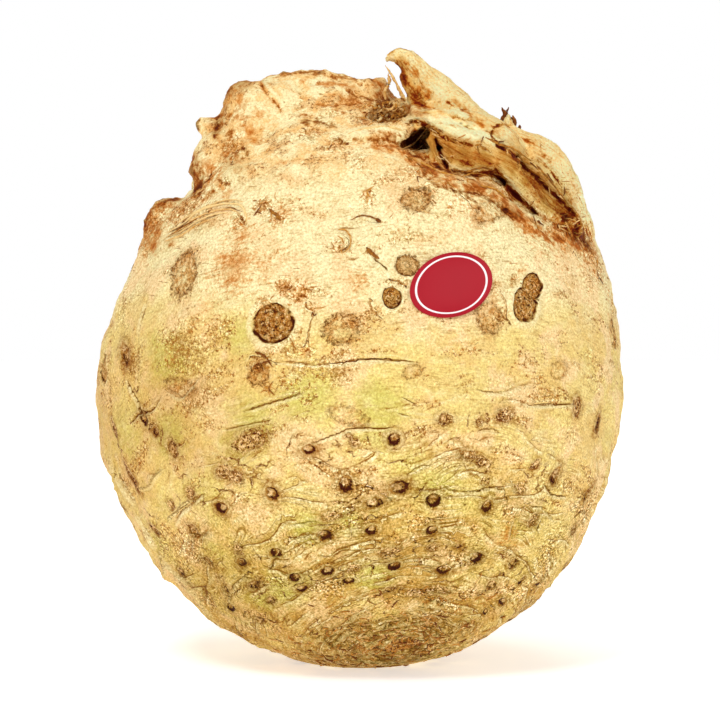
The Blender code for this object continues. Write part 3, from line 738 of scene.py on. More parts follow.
def nearMap(points, centres, wide, tall, turn=None):
    # coordinates from the nearest mark in units of its own half width and half height, and which mark it is
    best = np.full(len(points), 1e9)
    local, which = np.full((len(points), 2), 9.0), np.full(len(points), -1)
    for k, centre in enumerate(centres):
        offset = points - centre
        reach = 4.5 * max(wide[k], tall[k])
        near = np.where((np.abs(offset) < reach).all(1))[0]
        if not len(near):
            continue
        ringWay, away = tangents(centre[None])
        x, y = offset[near] @ ringWay[0], offset[near] @ away[0]
        out = offset[near] @ unit(centre - np.array(leafEnd["centre"]))
        if turn is not None:
            c, s = math.cos(math.radians(turn[k])), math.sin(math.radians(turn[k]))
            x, y = x * c + y * s, -x * s + y * c
        x, y = x / wide[k], y / tall[k]
        far = np.sqrt(x * x + y * y + (out / 6.0) ** 2)
        closer = far < best[near]
        at = near[closer]
        best[at], local[at, 0], local[at, 1], which[at] = far[closer], x[closer], y[closer], k
    return best, local, which


def wrinkleLines():
    # short wavy lines round the leaf axis: the arc wanders as a sum of two sines of the turn
    rng = np.random.default_rng(wrinkles["seed"])
    lines = []
    for _ in range(wrinkles["count"]):
        arc = rng.uniform(wrinkles["lowest"], wrinkles["highest"])
        start, length = rng.uniform(0, 2 * math.pi), rng.uniform(6, 20)
        span = length / (leafEnd["reach"] * math.sin(arc / leafEnd["reach"]) + 4)
        t = np.linspace(0, 1, 9)
        wander = rng.normal(0, 0.9) * np.sin(t * 3.1)
        wander = wander + rng.normal(0, 0.35) * np.sin(t * 9 + rng.uniform(0, 6))
        line = leafPoint(arc + wander, start + t * span)
        wide, deep = rng.uniform(0.3, 0.5), rng.uniform(0.25, 0.7) * rng.choice([1, 1, -1])
        lines.append((line, wide, deep, rng.uniform(0.35, 0.8)))
    return lines


def crackMarks(points):
    # for the line that each point is nearest to, in units of the line's half width: the distance, counted up
    # above the line and down below it; then the plain distance, the depth and how dark the line is
    narrow, shallow = 0.72, 0.7
    lines = []
    for path, width, deep, darkness in cracks:
        line = curveThrough(wallPoint(*np.array(path).T), 8)
        lines.append((line, width * narrow, deep * shallow, darkness))
    lines += wrinkleLines()
    best = np.full(len(points), 9.0)
    signed, depth, dark = np.full(len(points), 9.0), np.zeros(len(points)), np.zeros(len(points))
    for line, width, deep, darkness in lines:
        low, high = line.min(0) - 7 * width, line.max(0) + 7 * width
        near = np.where(((points > low) & (points < high)).all(1))[0]
        if not len(near):
            continue
        away, along, which, share = nearestOnPath(points[near], line)
        whole = np.linalg.norm(np.diff(line, axis=0), axis=1).sum()
        ends = np.minimum(1.0, np.minimum(along, whole - along) / (0.18 * whole) + 0.12)
        far = away / (width * (0.45 + 0.55 * ends))
        span = line[np.minimum(which + 1, len(line) - 1)] - line[which]
        foot = line[which] + share[:, None] * span
        aside = np.cross(span, foot - np.array(leafEnd["centre"]))
        sign = -np.sign(((points[near] - foot) * aside).sum(1) + 1e-9)
        closer = far < best[near]
        at = near[closer]
        best[at], signed[at] = far[closer], (far * sign)[closer]
        depth[at], dark[at] = deep * ends[closer], darkness * ends[closer]
    return signed, best, depth, dark


def strokeMarks(points):
    # seen from the front: each stroke's bell across its path, frayed by noise, adds to the rise and leaves
    # its colours; facing fades both out round the sides
    rise, colours = np.zeros(len(points)), np.zeros((len(points), 4))
    front = np.where((points[:, 1] < 6) & (points[:, 2] > 94))[0]
    flat = points[front] * np.array([1.0, 0.0, 1.0])
    fray = 0.45 * cloudNoise(points[front], 2.4, 61, 3, 0.6)
    facing = np.clip((3 - points[front, 1] + 9 * fray) / 9, 0, 1) * np.clip((points[front, 2] - 94) / 4, 0, 1)
    for path, wide, amount, *left in strokes:
        line = curveThrough(np.array([(x, 0.0, z) for x, z in path]), 8)
        away, along, which, share = nearestOnPath(flat, line)
        whole = np.linalg.norm(np.diff(line, axis=0), axis=1).sum()
        ends = np.minimum(1.0, 0.3 + np.minimum(along, whole - along) / (0.12 * whole))
        shape = facing * bell(np.maximum(away + fray * wide, 0), wide * (0.5 + 0.5 * ends))
        rise[front] += amount * shape
        left = np.array([*left, 0, 0, 0, 0][:4])
        colours[front] = np.maximum(colours[front], shape[:, None] * left)
    return rise, colours


def blotches(points, spots, seed, size=5.0):
    # the largest bell of all the spots at each point, its edge broken up by noise
    total = np.zeros(len(points))
    worn = 1 + 0.55 * cloudNoise(points, size, seed)
    for azimuth, height, spread, strength in spots:
        away = np.linalg.norm(points - wallPoint(azimuth, height), axis=1)
        total = np.maximum(total, strength * bell(away * worn, spread))
    return total


# roots painted like the body, without strands along them
plainRoots = (
    "crownBar", "bridge", "plateauRim", "plateauEnd",
    "leftKnuckle", "knuckleCorner", "leftLedge", "leftShoulder", "leftNub",
)


def strandCoordinates(points):
    # for the root that a point is nearest to: the distance in its radii, then the two offsets across the root
    # and the place along it
    best = np.full(len(points), 9.0)
    strand = np.zeros((len(points), 3))
    for k, (name, path) in enumerate(roots.items()):
        if name in plainRoots:
            continue
        path = curveThrough(path, 6)
        low, high = path[:, :3].min(0) - 12, path[:, :3].max(0) + 12
        near = np.where(((points > low) & (points < high)).all(1))[0]
        if not len(near):
            continue
        away, along, which, share = nearestOnPath(points[near], path)
        nextOne = np.minimum(which + 1, len(path) - 1)
        radius = path[which, 3] + share * (path[nextOne, 3] - path[which, 3])
        far = away / np.maximum(radius, 0.5)
        direction = unit(path[nextOne, :3] - path[which, :3])
        side = unit(np.cross(direction, np.array([0.13, 0.94, 0.31])))
        over = np.cross(side, direction)
        foot = path[which, :3] + share[:, None] * (path[nextOne, :3] - path[which, :3])
        offset = points[near] - foot
        closer = far < best[near]
        at = near[closer]
        best[at] = far[closer]
        strand[at] = np.stack([(offset * side).sum(1) + 40 * k, (offset * over).sum(1), along], -1)[closer]
    return best, strand


celeriac = mergedSkin()
mesh = celeriac.data

sculpt = {
    "lumps": 1.2,
    "smallLumps": 0.8,
    "pillows": 0.7,
    "grain": 0.26,
    "ringCreases": 0.3,
    "crownRough": 1.3,
    "rootEndRough": 1.1,
    "rootFibre": 0.7,
    "corkRough": 1.0,
    "budDepth": 0.5,
    "scarDepth": 0.8,
    "crackDepth": 1.0,
    "flowDepth": 0.12,
    "restFade": 3.0,
}


def flowMarks(grain):
    # level lines of a long smooth noise round the leaf end: signed distance to the nearest one in mm, which
    # is the noise's distance to the level over its slope along the arc; then the plain distance and the level
    size = np.array([34.0, 34.0, 6.6])
    step, levels, flattest = 0.25, 3.0, 0.12
    ahead = np.array([0.0, 0.0, step])
    value = levels * cloudNoise(grain / size, 1.0, 25, 2, 0.12)
    slope = (levels * cloudNoise((grain + ahead) / size, 1.0, 25, 2, 0.12) - value) / step
    slope = np.where(np.abs(slope) < flattest, flattest * np.sign(slope + 1e-9), slope)
    away = (value - np.round(value)) / slope
    return np.clip(away, -6, 6), np.minimum(np.abs(away), 6), np.round(value)


def ringWarp(points, budTable):
    # ring lines pass round the buds: every bud pulls the arcs near it towards its own arc, by the sum over
    # the buds of -0.7 * offset along the arc * e^-(distance / 2 half widths)^2
    warp = np.zeros(len(points))
    for row in budTable:
        centre, wide, tall = row[:3], row[3] + 0.7, row[4] + 0.7
        offset = points - centre
        near = np.where((np.abs(offset) < 5 * max(wide, tall)).all(1))[0]
        ringWay, away = tangents(centre[None])
        x, y = offset[near] @ ringWay[0], offset[near] @ away[0]
        warp[near] -= 0.7 * y * bell(np.hypot(x / wide, y / tall), 2.0)
    return warp


def readMarks(points):
    # everything that the skin's shape and its colour both follow, at each point
    arc, acrossA, acrossB = leafCoordinates(points)
    marks = {"arc": arc}
    budTable = allBuds()
    budFar, budLocal, budWhich = nearMap(points, budTable[:, :3], budTable[:, 3], budTable[:, 4])
    hasBud = budWhich >= 0
    marks["budFar"], marks["budLocal"] = budFar, budLocal
    marks["budStrength"] = np.where(hasBud, budTable[np.maximum(budWhich, 0), 5], 0)
    marks["budTall"] = np.where(hasBud, budTable[np.maximum(budWhich, 0), 4], 1)
    rng = np.random.default_rng(77)
    lean = math.pi / 2 + rng.normal(0, 0.9, len(budTable))
    looks = np.column_stack([np.cos(lean), np.sin(lean), rng.uniform(0.2, 1.0, len(budTable))])
    marks["budLook"] = looks[np.maximum(budWhich, 0)]
    grainArc = arc + ringWarp(points, budTable) + 3.0 * cloudNoise(points, 22, 3, 1)
    marks["grain"] = np.stack([acrossA, acrossB, grainArc], -1)
    marks["flow"], marks["flowFar"], level = flowMarks(marks["grain"])
    patchPlace = marks["grain"] / np.array([12.0, 12.0, 5.0]) + level[:, None] * 3.7
    flowPatch = ramp(cloudNoise(patchPlace, 1.0, 26, 2), -0.08, 0.22)
    marks["flowDepth"] = flowPatch * ramp(arc, 88, 62) * (0.35 + 0.65 * ramp(arc, 66, 44))
    marks["flowDepth"] *= ramp(budFar, 0.9, 1.3)
    rootFar, marks["strand"] = strandCoordinates(points)
    marks["rootness"] = ramp(rootFar, 1.5, 1.1) * ramp(points[:, 2], 96, 102)
    marks["rootEnd"] = ramp(points[:, 2] + 5 * cloudNoise(points, 14, 5), 106, 126)
    unevenArc = arc + 12 * cloudNoise(points, 18, 7, 2) + 5 * cloudNoise(points, 5, 6, 2)
    marks["crown"] = ramp(unevenArc, leafEnd["crownArc"] + 9, leafEnd["crownArc"] - 9)
    scarTable = np.array([[*wallPoint(a, h), wide, tall, turn, s] for a, h, wide, tall, turn, s in scars])
    scarFar, scarLocal, scarWhich = nearMap(points, scarTable[:, :3], *scarTable[:, 3:6].T)
    marks["scarFar"], marks["scarLocal"] = scarFar, scarLocal
    marks["scarStrength"] = np.where(scarWhich >= 0, scarTable[np.maximum(scarWhich, 0), 6], 0)
    marks["crack"], marks["crackFar"], marks["crackDepth"], marks["crackDark"] = crackMarks(points)
    marks["strokeRise"], marks["stroke"] = strokeMarks(points)
    marks["cork"] = blotches(points, corks, 36, 3.0)
    return marks


def softenSeam():
    # the left knuckle runs into the body without a seam: its front is averaged many times over
    points, edges = meshPoints(mesh), meshEdges(mesh)
    share = ramp(points[:, 0], 4, -4) * ramp(points[:, 2], 103, 110) * ramp(points[:, 1], -15, -20)
    share *= ramp(points[:, 2] + 0.4 * points[:, 0], 127, 121) * ramp(points[:, 0], -31, -27)
    points += (averaged(points, edges, 90, 0.9) - points) * share[:, None]
    setMeshPoints(mesh, points)


def sculptSkin():
    points, normals = meshPoints(mesh), meshNormals(mesh)
    m = readMarks(points)
    grain, crown = m["grain"], m["crown"]
    rise = sculpt["lumps"] * cloudNoise(points, 26, 11, 2)
    rise += sculpt["smallLumps"] * cloudNoise(points, 9, 12, 2)
    rise += sculpt["pillows"] * cloudNoise(grain / np.array([15.0, 15.0, 6.0]), 1.0, 24, 2)
    rise += sculpt["grain"] * cloudNoise(points, 2.2, 13, 2)
    rings = 0.35 - np.abs(cloudNoise(grain / np.array([13.0, 13.0, 3.0]), 1.0, 14, 2, 0.5))
    ringMask = ramp(m["arc"], 104, 60) * (0.35 + 0.65 * ramp(cloudNoise(points, 16, 15), -0.35, 0.3))
    rise += sculpt["ringCreases"] * rings * ringMask * (1 - crown)
    rise += sculpt["crownRough"] * crown * cloudNoise(grain / np.array([5.0, 5.0, 1.8]), 1.0, 16, 3, 0.5)
    knobbly = cloudNoise(points, 5.0, 17, 4, 0.6)
    rise += sculpt["rootEndRough"] * m["rootEnd"] * (1 - 0.6 * m["rootness"]) * knobbly
    rise += sculpt["corkRough"] * m["cork"] * cloudNoise(points, 1.9, 23, 3, 0.7)
    fibrous = cloudNoise(m["strand"] / np.array([1.5, 1.5, 9.0]), 1.0, 18, 3, 0.6)
    rise += sculpt["rootFibre"] * m["rootness"] * fibrous

    crease = bell(m["flow"], 0.8) - 0.6 * bell(m["flowFar"] - 1.6, 1.0)
    rise -= sculpt["flowDepth"] * m["flowDepth"] * crease

    wobble = m["budFar"] * (1 + 0.2 * cloudNoise(points, 1.6, 19, 2))
    size = np.minimum(m["budTall"], 2.4) / 1.8
    pit = -bell(wobble, 0.55) + 0.45 * bell(wobble - 1.1, 0.34)
    rise += sculpt["budDepth"] * m["budStrength"] * size * pit

    edge = m["scarFar"] * (1 + 0.1 * cloudNoise(points, 2.6, 20, 2))
    dish = -0.5 * ramp(edge, 1.1, 0.75) + 0.5 * bell(edge - 1.14, 0.16) - 0.6 * bell(edge - 0.93, 0.07)
    dish += 0.9 * ramp(edge, 1.0, 0.85) * cloudNoise(points, 1.5, 22, 3, 0.65)
    rise += sculpt["scarDepth"] * m["scarStrength"] * ramp(m["scarStrength"], 0.5, 0.9) * dish

    depth, away = sculpt["crackDepth"] * m["crackDepth"], m["crack"]
    rise += -depth * bell(away, 1.0) + 0.5 * np.abs(depth) * bell(np.abs(away) - 2.1, 1.0)

    rise *= ramp(points[:, 2], 0.2, sculpt["restFade"])
    points = points + normals * rise[:, None]
    points[:, 1] -= m["strokeRise"]
    points[:, 2] = np.maximum(points[:, 2], 0)
    setMeshPoints(mesh, points)
    say("sculpted")


softenSeam()
sculptSkin()
faceCount = sum(len(p.vertices) - 2 for p in mesh.polygons)
kept = min(1.0, skin["triangles"] / faceCount)
applied(celeriac, ("DECIMATE", {"decimate_type": "COLLAPSE", "ratio": kept}))
mesh = celeriac.data
mesh.shade_smooth()
say("%d triangles thinned to %d" % (faceCount, sum(len(p.vertices) - 2 for p in mesh.polygons)))


def hollowness(points, normals, edges, rounds):
    # how far a smoothed copy stands in front of the skin, in mm: above 0 in hollows, below 0 on ridges
    return ((averaged(points, edges, rounds, 0.9) - points) * normals).sum(1)


def storeMarks():
    points, normals, edges = meshPoints(mesh), meshNormals(mesh), meshEdges(mesh)
    m = readMarks(points)
    storeValue(mesh, "grain", m["grain"])
    storeValue(mesh, "strand", m["strand"])
    # the seam is where an edge's two ends count along different roots
    jumps = edges[np.linalg.norm(m["strand"][edges[:, 0]] - m["strand"][edges[:, 1]], axis=1) > 6]
    seam = np.zeros((len(points), 3))
    seam[jumps.ravel()] = 1
    storeValue(mesh, "seam", seam)
    storeValue(mesh, "bud", np.column_stack([m["budLocal"], m["budStrength"]]))
    storeValue(mesh, "scar", np.column_stack([m["scarLocal"], m["scarStrength"]]))
    storeValue(mesh, "crack", np.column_stack([m["crack"], m["crackDark"], m["cork"]]))
    storeValue(mesh, "budLook", m["budLook"])
    storeValue(mesh, "guard", np.column_stack([m["budFar"], m["scarFar"], m["crackFar"]]))
    storeValue(mesh, "stroke", m["stroke"][:, :3])
    storeValue(mesh, "flow", np.column_stack([m["flow"], m["flowFar"], m["flowDepth"]]))
    pale = ramp(points[:, 2] + 7 * cloudNoise(points, 18, 31), 66, 104)
    lower = ramp(m["arc"] + 7 * cloudNoise(points, 14, 32), 78, 30)
    storeValue(mesh, "zone", np.column_stack([pale, lower, m["crown"]]))
    shaded = blotches(points, shades, 37, 16.0)
    storeValue(mesh, "roots", np.column_stack([m["rootness"], m["rootEnd"], shaded]))
    tint = [blotches(points, stains, 33), blotches(points, greens, 34, 7.0), blotches(points, smudges, 35)]
    storeValue(mesh, "tint", np.column_stack(tint))
    fine, wide = hollowness(points, normals, edges, 3), hollowness(points, normals, edges, 24)
    storeValue(mesh, "hollow", np.column_stack([fine, wide, m["stroke"][:, 3]]))
    say("marks stored")


storeMarks()


# paint


def tone(red, green, blue):
    # a screen colour of 0 to 255 as the shader's own linear colour
    share = np.array([red, green, blue]) / 255.0
    return (*np.where(share <= 0.04045, share / 12.92, ((share + 0.055) / 1.055) ** 2.4).tolist(), 1.0)


class Paint:
    # one material; coats of colour are laid one after another over its running colour
    def __init__(self, name):
        self.material = bpy.data.materials.new(name)
        self.material.use_nodes = True
        self.tree = self.material.node_tree
        self.shader = self.tree.nodes["Principled BSDF"]
        self.colour = None

    def plug(self, socket, value):
        if isinstance(value, bpy.types.NodeSocket):
            self.tree.links.new(value, socket)
        elif value is not None:
            socket.default_value = value

    def node(self, kind, *values, **settings):
        # a new node, its settings, and values for its first sockets
        made = self.tree.nodes.new("ShaderNode" + kind)
        for name, value in settings.items():
            setattr(made, name, value)
        for socket, value in zip(made.inputs, values):
            self.plug(socket, value)
        return made

    def calc(self, operation, *values):
        return self.node("Math", *values, operation=operation).outputs[0]

    def times(self, first, *others):
        for other in others:
            first = self.calc("MULTIPLY", first, other)
        return first

    def plus(self, first, *others):
        for other in others:
            first = self.calc("ADD", first, other)
        return first

    def flip(self, value):
        return self.calc("SUBTRACT", 1.0, value)

    def worn(self, value, noise, strength):
        # value + (noise - 0.5) * strength
        return self.plus(value, self.times(self.plus(noise, -0.5), strength))

    def smooth(self, value, low, high, start=0.0, end=1.0):
        # start at low, end at high, the smooth curve between
        made = self.node("MapRange", value, low, high, start, end, interpolation_type="SMOOTHSTEP")
        return made.outputs["Result"]

    def line(self, value, level, outer, inner):
        # 1 where the value is within inner of the level, 0 where it is further than outer
        return self.smooth(self.calc("ABSOLUTE", self.plus(value, -level)), outer, inner)

    def scaled(self, vector, *factors):
        return self.node("VectorMath", vector, factors, operation="MULTIPLY").outputs[0]

    def shifted(self, vector, offset, strength):
        # vector + (offset colour - 0.5) * strength
        centred = self.node("VectorMath", offset, (0.5,) * 3, operation="SUBTRACT").outputs[0]
        return self.node("VectorMath", centred, (strength,) * 3, vector, operation="MULTIPLY_ADD").outputs[0]

    def flatLength(self, vector):
        # distance from the middle in the vector's first two numbers
        return self.node("VectorMath", self.scaled(vector, 1, 1, 0), operation="LENGTH").outputs["Value"]

    def parts(self, vector):
        made = self.node("SeparateXYZ", vector)
        return made.outputs[0], made.outputs[1], made.outputs[2]

    def noise(self, vector, size, detail=3.0, roughness=0.55, colour=False):
        made = self.node("TexNoise", vector)
        made.inputs["Scale"].default_value = 1.0 / size
        made.inputs["Detail"].default_value = detail
        made.inputs["Roughness"].default_value = roughness
        return made.outputs["Color"] if colour else made.outputs["Fac"]

    def stretched(self, vector, sizes, detail, roughness):
        # noise with its own size along each of the vector's three ways
        return self.noise(self.scaled(vector, *(1 / size for size in sizes)), 1.0, detail, roughness)

    def mix(self, factor, a, b):
        made = self.node("Mix", data_type="RGBA")
        self.plug(made.inputs["Factor"], factor)
        self.plug(made.inputs[6], a)
        self.plug(made.inputs[7], b)
        return made.outputs[2]

    def coat(self, colour, *strengths):
        # colour laid over the running colour, as strongly as the product of the strengths
        self.colour = self.mix(self.times(*strengths), self.colour, colour)

    def attribute(self, name, output="Vector"):
        return self.node("Attribute", attribute_name=name).outputs[output]

    def millimetres(self):
        return self.scaled(self.node("TexCoord").outputs["Object"], 1000, 1000, 1000)

    def bump(self, height, depth):
        made = self.node("Bump")
        made.inputs["Strength"].default_value = 1.0
        made.inputs["Distance"].default_value = depth * metre
        self.plug(made.inputs["Height"], height)
        return made.outputs["Normal"]


skinTones = {
    "cream": tone(255, 238, 182),
    "straw": tone(244, 210, 132),
    "honey": tone(212, 170, 96),
    "tan": tone(214, 170, 98),
    "pink": tone(254, 218, 160),
    "lemon": tone(247, 223, 138),
    "green": tone(214, 212, 116),
    "rust": tone(216, 138, 54),
    "russet": tone(176, 92, 16),
    "ash": tone(164, 126, 64),
    "cork": tone(212, 148, 68),
    "olive": tone(132, 92, 22),
    "bark": tone(138, 80, 10),
    "darkBark": tone(70, 28, 2),
    "rootTan": tone(252, 206, 134),
    "crownBrown": tone(146, 94, 26),
}


def paintSkin():
    p = Paint("celeriacSkin")
    t = skinTones
    place = p.millimetres()
    grain, strand = p.attribute("grain"), p.attribute("strand")
    bud, scar = p.attribute("bud"), p.attribute("scar")
    pale, lower, crown = p.parts(p.attribute("zone"))
    rootness, rootEnd, shaded = p.parts(p.attribute("roots"))
    stain, green, smudge = p.parts(p.attribute("tint"))
    hollowFine, hollowWide, softShade = p.parts(p.attribute("hollow"))
    crackAway, crackDark, cork = p.parts(p.attribute("crack"))
    budGuard, scarGuard, crackGuard = p.parts(p.attribute("guard"))
    strokeDarkAndShade, strokeRust, strokeCreamAndHighlight = p.parts(p.attribute("stroke"))

    wide, middle = p.noise(place, 12.0, 2.0), p.noise(place, 4.0, 4.0, 0.6)
    fine, finest = p.noise(place, 1.1, 3.0, 0.65), p.noise(place, 0.5, 2.0, 0.7)
    speckle = p.noise(place, 0.8, 4.0, 0.75)
    bodyOnly = p.flip(p.smooth(rootEnd, 0.1, 0.8))

    # ground: straw, cream towards the root end, honey towards the leaf end; then clean lemon and pink patches
    # and dusty ones whose fine dirt thickens
    middling = p.plus(middle, -0.5)
    p.colour = p.mix(p.smooth(p.plus(pale, p.times(middling, 0.9)), 0.1, 0.9), t["straw"], t["cream"])
    p.coat(t["honey"], p.smooth(p.plus(lower, p.times(middling, 0.8)), 0.2, 1.1))
    p.coat(t["pink"], p.smooth(p.noise(place, 9.0, 3.0), 0.46, 0.58), 0.8)
    clean = p.smooth(p.plus(wide, p.times(middling, 0.4)), 0.46, 0.6)
    p.coat(p.mix(p.smooth(pale, 0.2, 0.8), t["lemon"], t["cream"]), clean, 0.75)
    banded = p.stretched(grain, (12.0, 12.0, 4.5), 3.0, 0.6)
    dusty = p.smooth(p.worn(banded, speckle, 0.5), 0.53, 0.66)
    dusty = p.times(dusty, bodyOnly, p.flip(p.times(clean, 0.8)))
    dusty = p.times(dusty, p.smooth(pale, 0.1, 0.8, 1.0, 0.45))
    p.coat(t["tan"], dusty, 0.65)
    p.coat(t["green"], p.smooth(p.worn(green, fine, 0.5), 0.12, 0.7), 0.74)

    # root end and the twisted roots: tan, streaked along each root
    tan = p.mix(p.smooth(middle, 0.38, 0.62), t["rootTan"], t["cream"])
    tan = p.mix(p.times(rootness, 0.5), tan, t["rootTan"])
    p.coat(tan, p.smooth(p.worn(rootEnd, fine, 0.7), 0.1, 0.9))
    streak = p.stretched(strand, (0.7, 0.7, 7.0), 4.0, 0.65)
    streak = p.worn(0.5, streak, p.flip(p.parts(p.attribute("seam"))[0]))
    p.coat(t["rust"], rootness, p.smooth(streak, 0.53, 0.68), 0.5)
    p.coat(t["bark"], rootness, p.smooth(speckle, 0.6, 0.67), 0.7)

    sprinkled = p.smooth(p.worn(p.noise(place, 5.5, 4.0, 0.65), speckle, 0.3), 0.51, 0.6)
    sprinkled = p.times(sprinkled, p.times(p.smooth(rootEnd, 0.1, 0.7), p.flip(rootness)))
    p.coat(t["rust"], sprinkled, 0.4)
    p.coat(t["bark"], sprinkled, p.smooth(p.noise(place, 0.7, 4.0, 0.8), 0.52, 0.57))

    # creases flowing round the leaf end: a thin dark line, a painted highlight just under it, painted shade
    # on the swell above it and a painted highlight on the swell below, an ash band along the lines, and short
    # hatching between
    flow, flowFar, flowDepth = p.parts(p.attribute("flow"))
    wave = p.worn(flow, fine, 0.5)
    creaseMask = p.times(p.smooth(flowFar, 1.6, 1.0), p.smooth(p.worn(flowDepth, fine, 1.0), 0.15, 0.5))
    thick = p.smooth(middle, 0.36, 0.64, 0.06, 0.18)
    crease = p.times(p.smooth(p.calc("DIVIDE", p.calc("ABSOLUTE", wave), thick), 1.3, 0.5), creaseMask)
    pillowShade = p.times(p.smooth(wave, 2.6, 0.1), p.smooth(wave, -0.1, 0.1))
    pillowHighlight = p.times(p.smooth(wave, -2.4, -0.4), p.smooth(wave, 0.0, -0.3))
    rolled = p.times(p.smooth(flowDepth, 0.1, 0.7), p.smooth(flowFar, 3.0, 2.2))
    creaseHighlight = p.times(p.line(wave, -0.4, 0.35, 0.1), creaseMask)
    band = p.times(p.smooth(p.worn(flowFar, speckle, 4.0), 1.3, 0.2), flowDepth)
    p.coat(t["ash"], band, 0.4)
    p.coat(t["ash"], pillowShade, rolled, 0.16)
    p.coat(t["cream"], pillowHighlight, rolled, 0.26)
    p.coat(t["cream"], creaseHighlight, 0.8)
    p.coat(t["bark"], crease, 0.85)
    minorWave = p.stretched(grain, (17.0, 17.0, 1.9), 0.5, 0.4)
    level = p.calc("FRACT", p.times(minorWave, 6.0))
    minorPatch = p.times(p.smooth(p.noise(place, 8.0, 2.0), 0.5, 0.6), bodyOnly)
    minorPatch = p.times(minorPatch, p.smooth(lower, 0.0, 0.6, 0.25, 0.9), p.smooth(crown, 0.3, 0.0))
    minor = p.times(p.line(level, 0.5, 0.12, 0.04), minorPatch)
    minorLight = p.times(p.line(level, 0.75, 0.14, 0.04), minorPatch)
    p.coat(t["cream"], minorLight, 0.7)
    p.coat(t["olive"], minor, 0.7)
    hatchWave = p.stretched(grain, (3.2, 3.2, 0.5), 3.0, 0.65)
    hatchPatch = p.smooth(p.noise(place, 6.0, 3.0), 0.4, 0.64)
    hatch = p.times(p.smooth(hatchWave, 0.54, 0.64), hatchPatch, bodyOnly)
    p.coat(t["bark"], hatch, p.smooth(lower, 0.0, 0.8, 0.3, 0.85))
    # painted highlight: cream streaks laid between the hatch lines
    lift = p.times(p.smooth(hatchWave, 0.45, 0.36), 0.5, p.smooth(lower, 0.0, 0.8, 0.35, 0.95))
    p.coat(t["cream"], lift)

    # fine brown freckles and squiggling hairlines, thick where it is dusty and rare where it is clean
    dust = p.smooth(p.worn(p.plus(dusty, p.times(p.plus(smudge, cork), 0.8)), middle, 1.2), 0.0, 0.7)
    freckle = p.times(p.smooth(speckle, 0.56, 0.62), p.smooth(dust, 0.0, 1.0, 0.06, 1.0))
    p.coat(t["rust"], p.smooth(speckle, 0.52, 0.6), p.smooth(dust, 0.2, 1.0, 0.0, 0.45))
    p.coat(t["bark"], freckle, 0.8)
    tangled = p.shifted(place, p.noise(place, 3.0, 2.0, 0.5, colour=True), 5.0)
    hairWave = p.noise(tangled, 1.7, 2.0, 0.5)
    hair = p.line(hairWave, 0.5, 0.03, 0.008)
    hair = p.times(hair, p.smooth(p.worn(dust, fine, 1.5), 0.3, 0.75))
    hair = p.times(hair, p.smooth(lower, 0.1, 0.7, 1.0, 0.25))
    p.coat(t["olive"], hair, 0.6)
    hairLight = p.line(hairWave, 0.55, 0.03, 0.008)
    p.coat(t["cream"], hairLight, dust, 0.6)
    grit = p.smooth(p.noise(place, 0.55, 3.0, 0.7), 0.585, 0.65)
    p.coat(t["rust"], grit, p.smooth(dust, 0.0, 1.0, 0.1, 0.7))

    # thin level dashes on the pale upper half
    dashWave = p.stretched(place, (5.0, 5.0, 0.5), 2.0, 0.5)
    dash = p.times(p.smooth(dashWave, 0.64, 0.68), p.smooth(p.noise(place, 7.0, 2.0), 0.48, 0.6))
    dash = p.times(dash, bodyOnly, p.smooth(pale, 0.1, 0.6))
    p.coat(t["bark"], dash, 0.7)

    # rusty stains, grey smudges and corky patches, all broken up finely
    streaky = p.worn(p.times(p.plus(hatchWave, -0.5), 1.6), speckle, 2.2)
    broken = p.plus(p.worn(stain, fine, 1.0), streaky)
    p.coat(t["rust"], p.smooth(broken, 0.3, 1.0), 0.75)
    p.coat(t["russet"], p.smooth(broken, 0.95, 1.25), 0.6)
    smudged = p.worn(smudge, speckle, 1.8)
    p.coat(t["ash"], p.smooth(smudged, 0.35, 0.95), 0.65)
    corky = p.worn(cork, speckle, 2.6)
    p.coat(t["rust"], p.smooth(corky, 0.35, 0.8), 0.5)
    p.coat(t["bark"], p.smooth(corky, 0.75, 1.15), 0.85)
    p.coat(t["darkBark"], p.smooth(corky, 1.15, 1.5))

    # crown: rough fibre, dark between pale threads
    crownPlace = p.shifted(grain, p.noise(place, 3.0, 2.0, 0.5, colour=True), 3.0)
    crownWave = p.stretched(crownPlace, (2.4, 2.4, 0.6), 4.0, 0.72)
    crownFleck = p.stretched(crownPlace, (2.2, 2.2, 0.7), 2.0, 0.6)
    crownTone = p.mix(p.smooth(crownWave, 0.46, 0.6), t["crownBrown"], t["honey"])
    crownTone = p.mix(p.times(p.smooth(p.noise(place, 4.4, 3.0), 0.54, 0.64), 0.7), crownTone, t["rust"])
    crownTone = p.mix(p.times(p.smooth(p.noise(place, 5.0, 3.0), 0.55, 0.65), 0.75), crownTone, t["straw"])
    crownTone = p.mix(p.times(p.smooth(crownFleck, 0.53, 0.6), 0.95), crownTone, t["darkBark"])
    crownTone = p.mix(p.times(p.smooth(crownFleck, 0.43, 0.37), 0.9), crownTone, t["cream"])
    crownTone = p.mix(p.smooth(p.noise(place, 1.5, 3.0, 0.7), 0.45, 0.38), crownTone, t["straw"])
    crownEdge = p.smooth(p.worn(crown, crownWave, 3.4), 0.15, 1.05, 0.0, 0.85)
    p.coat(crownTone, crownEdge)
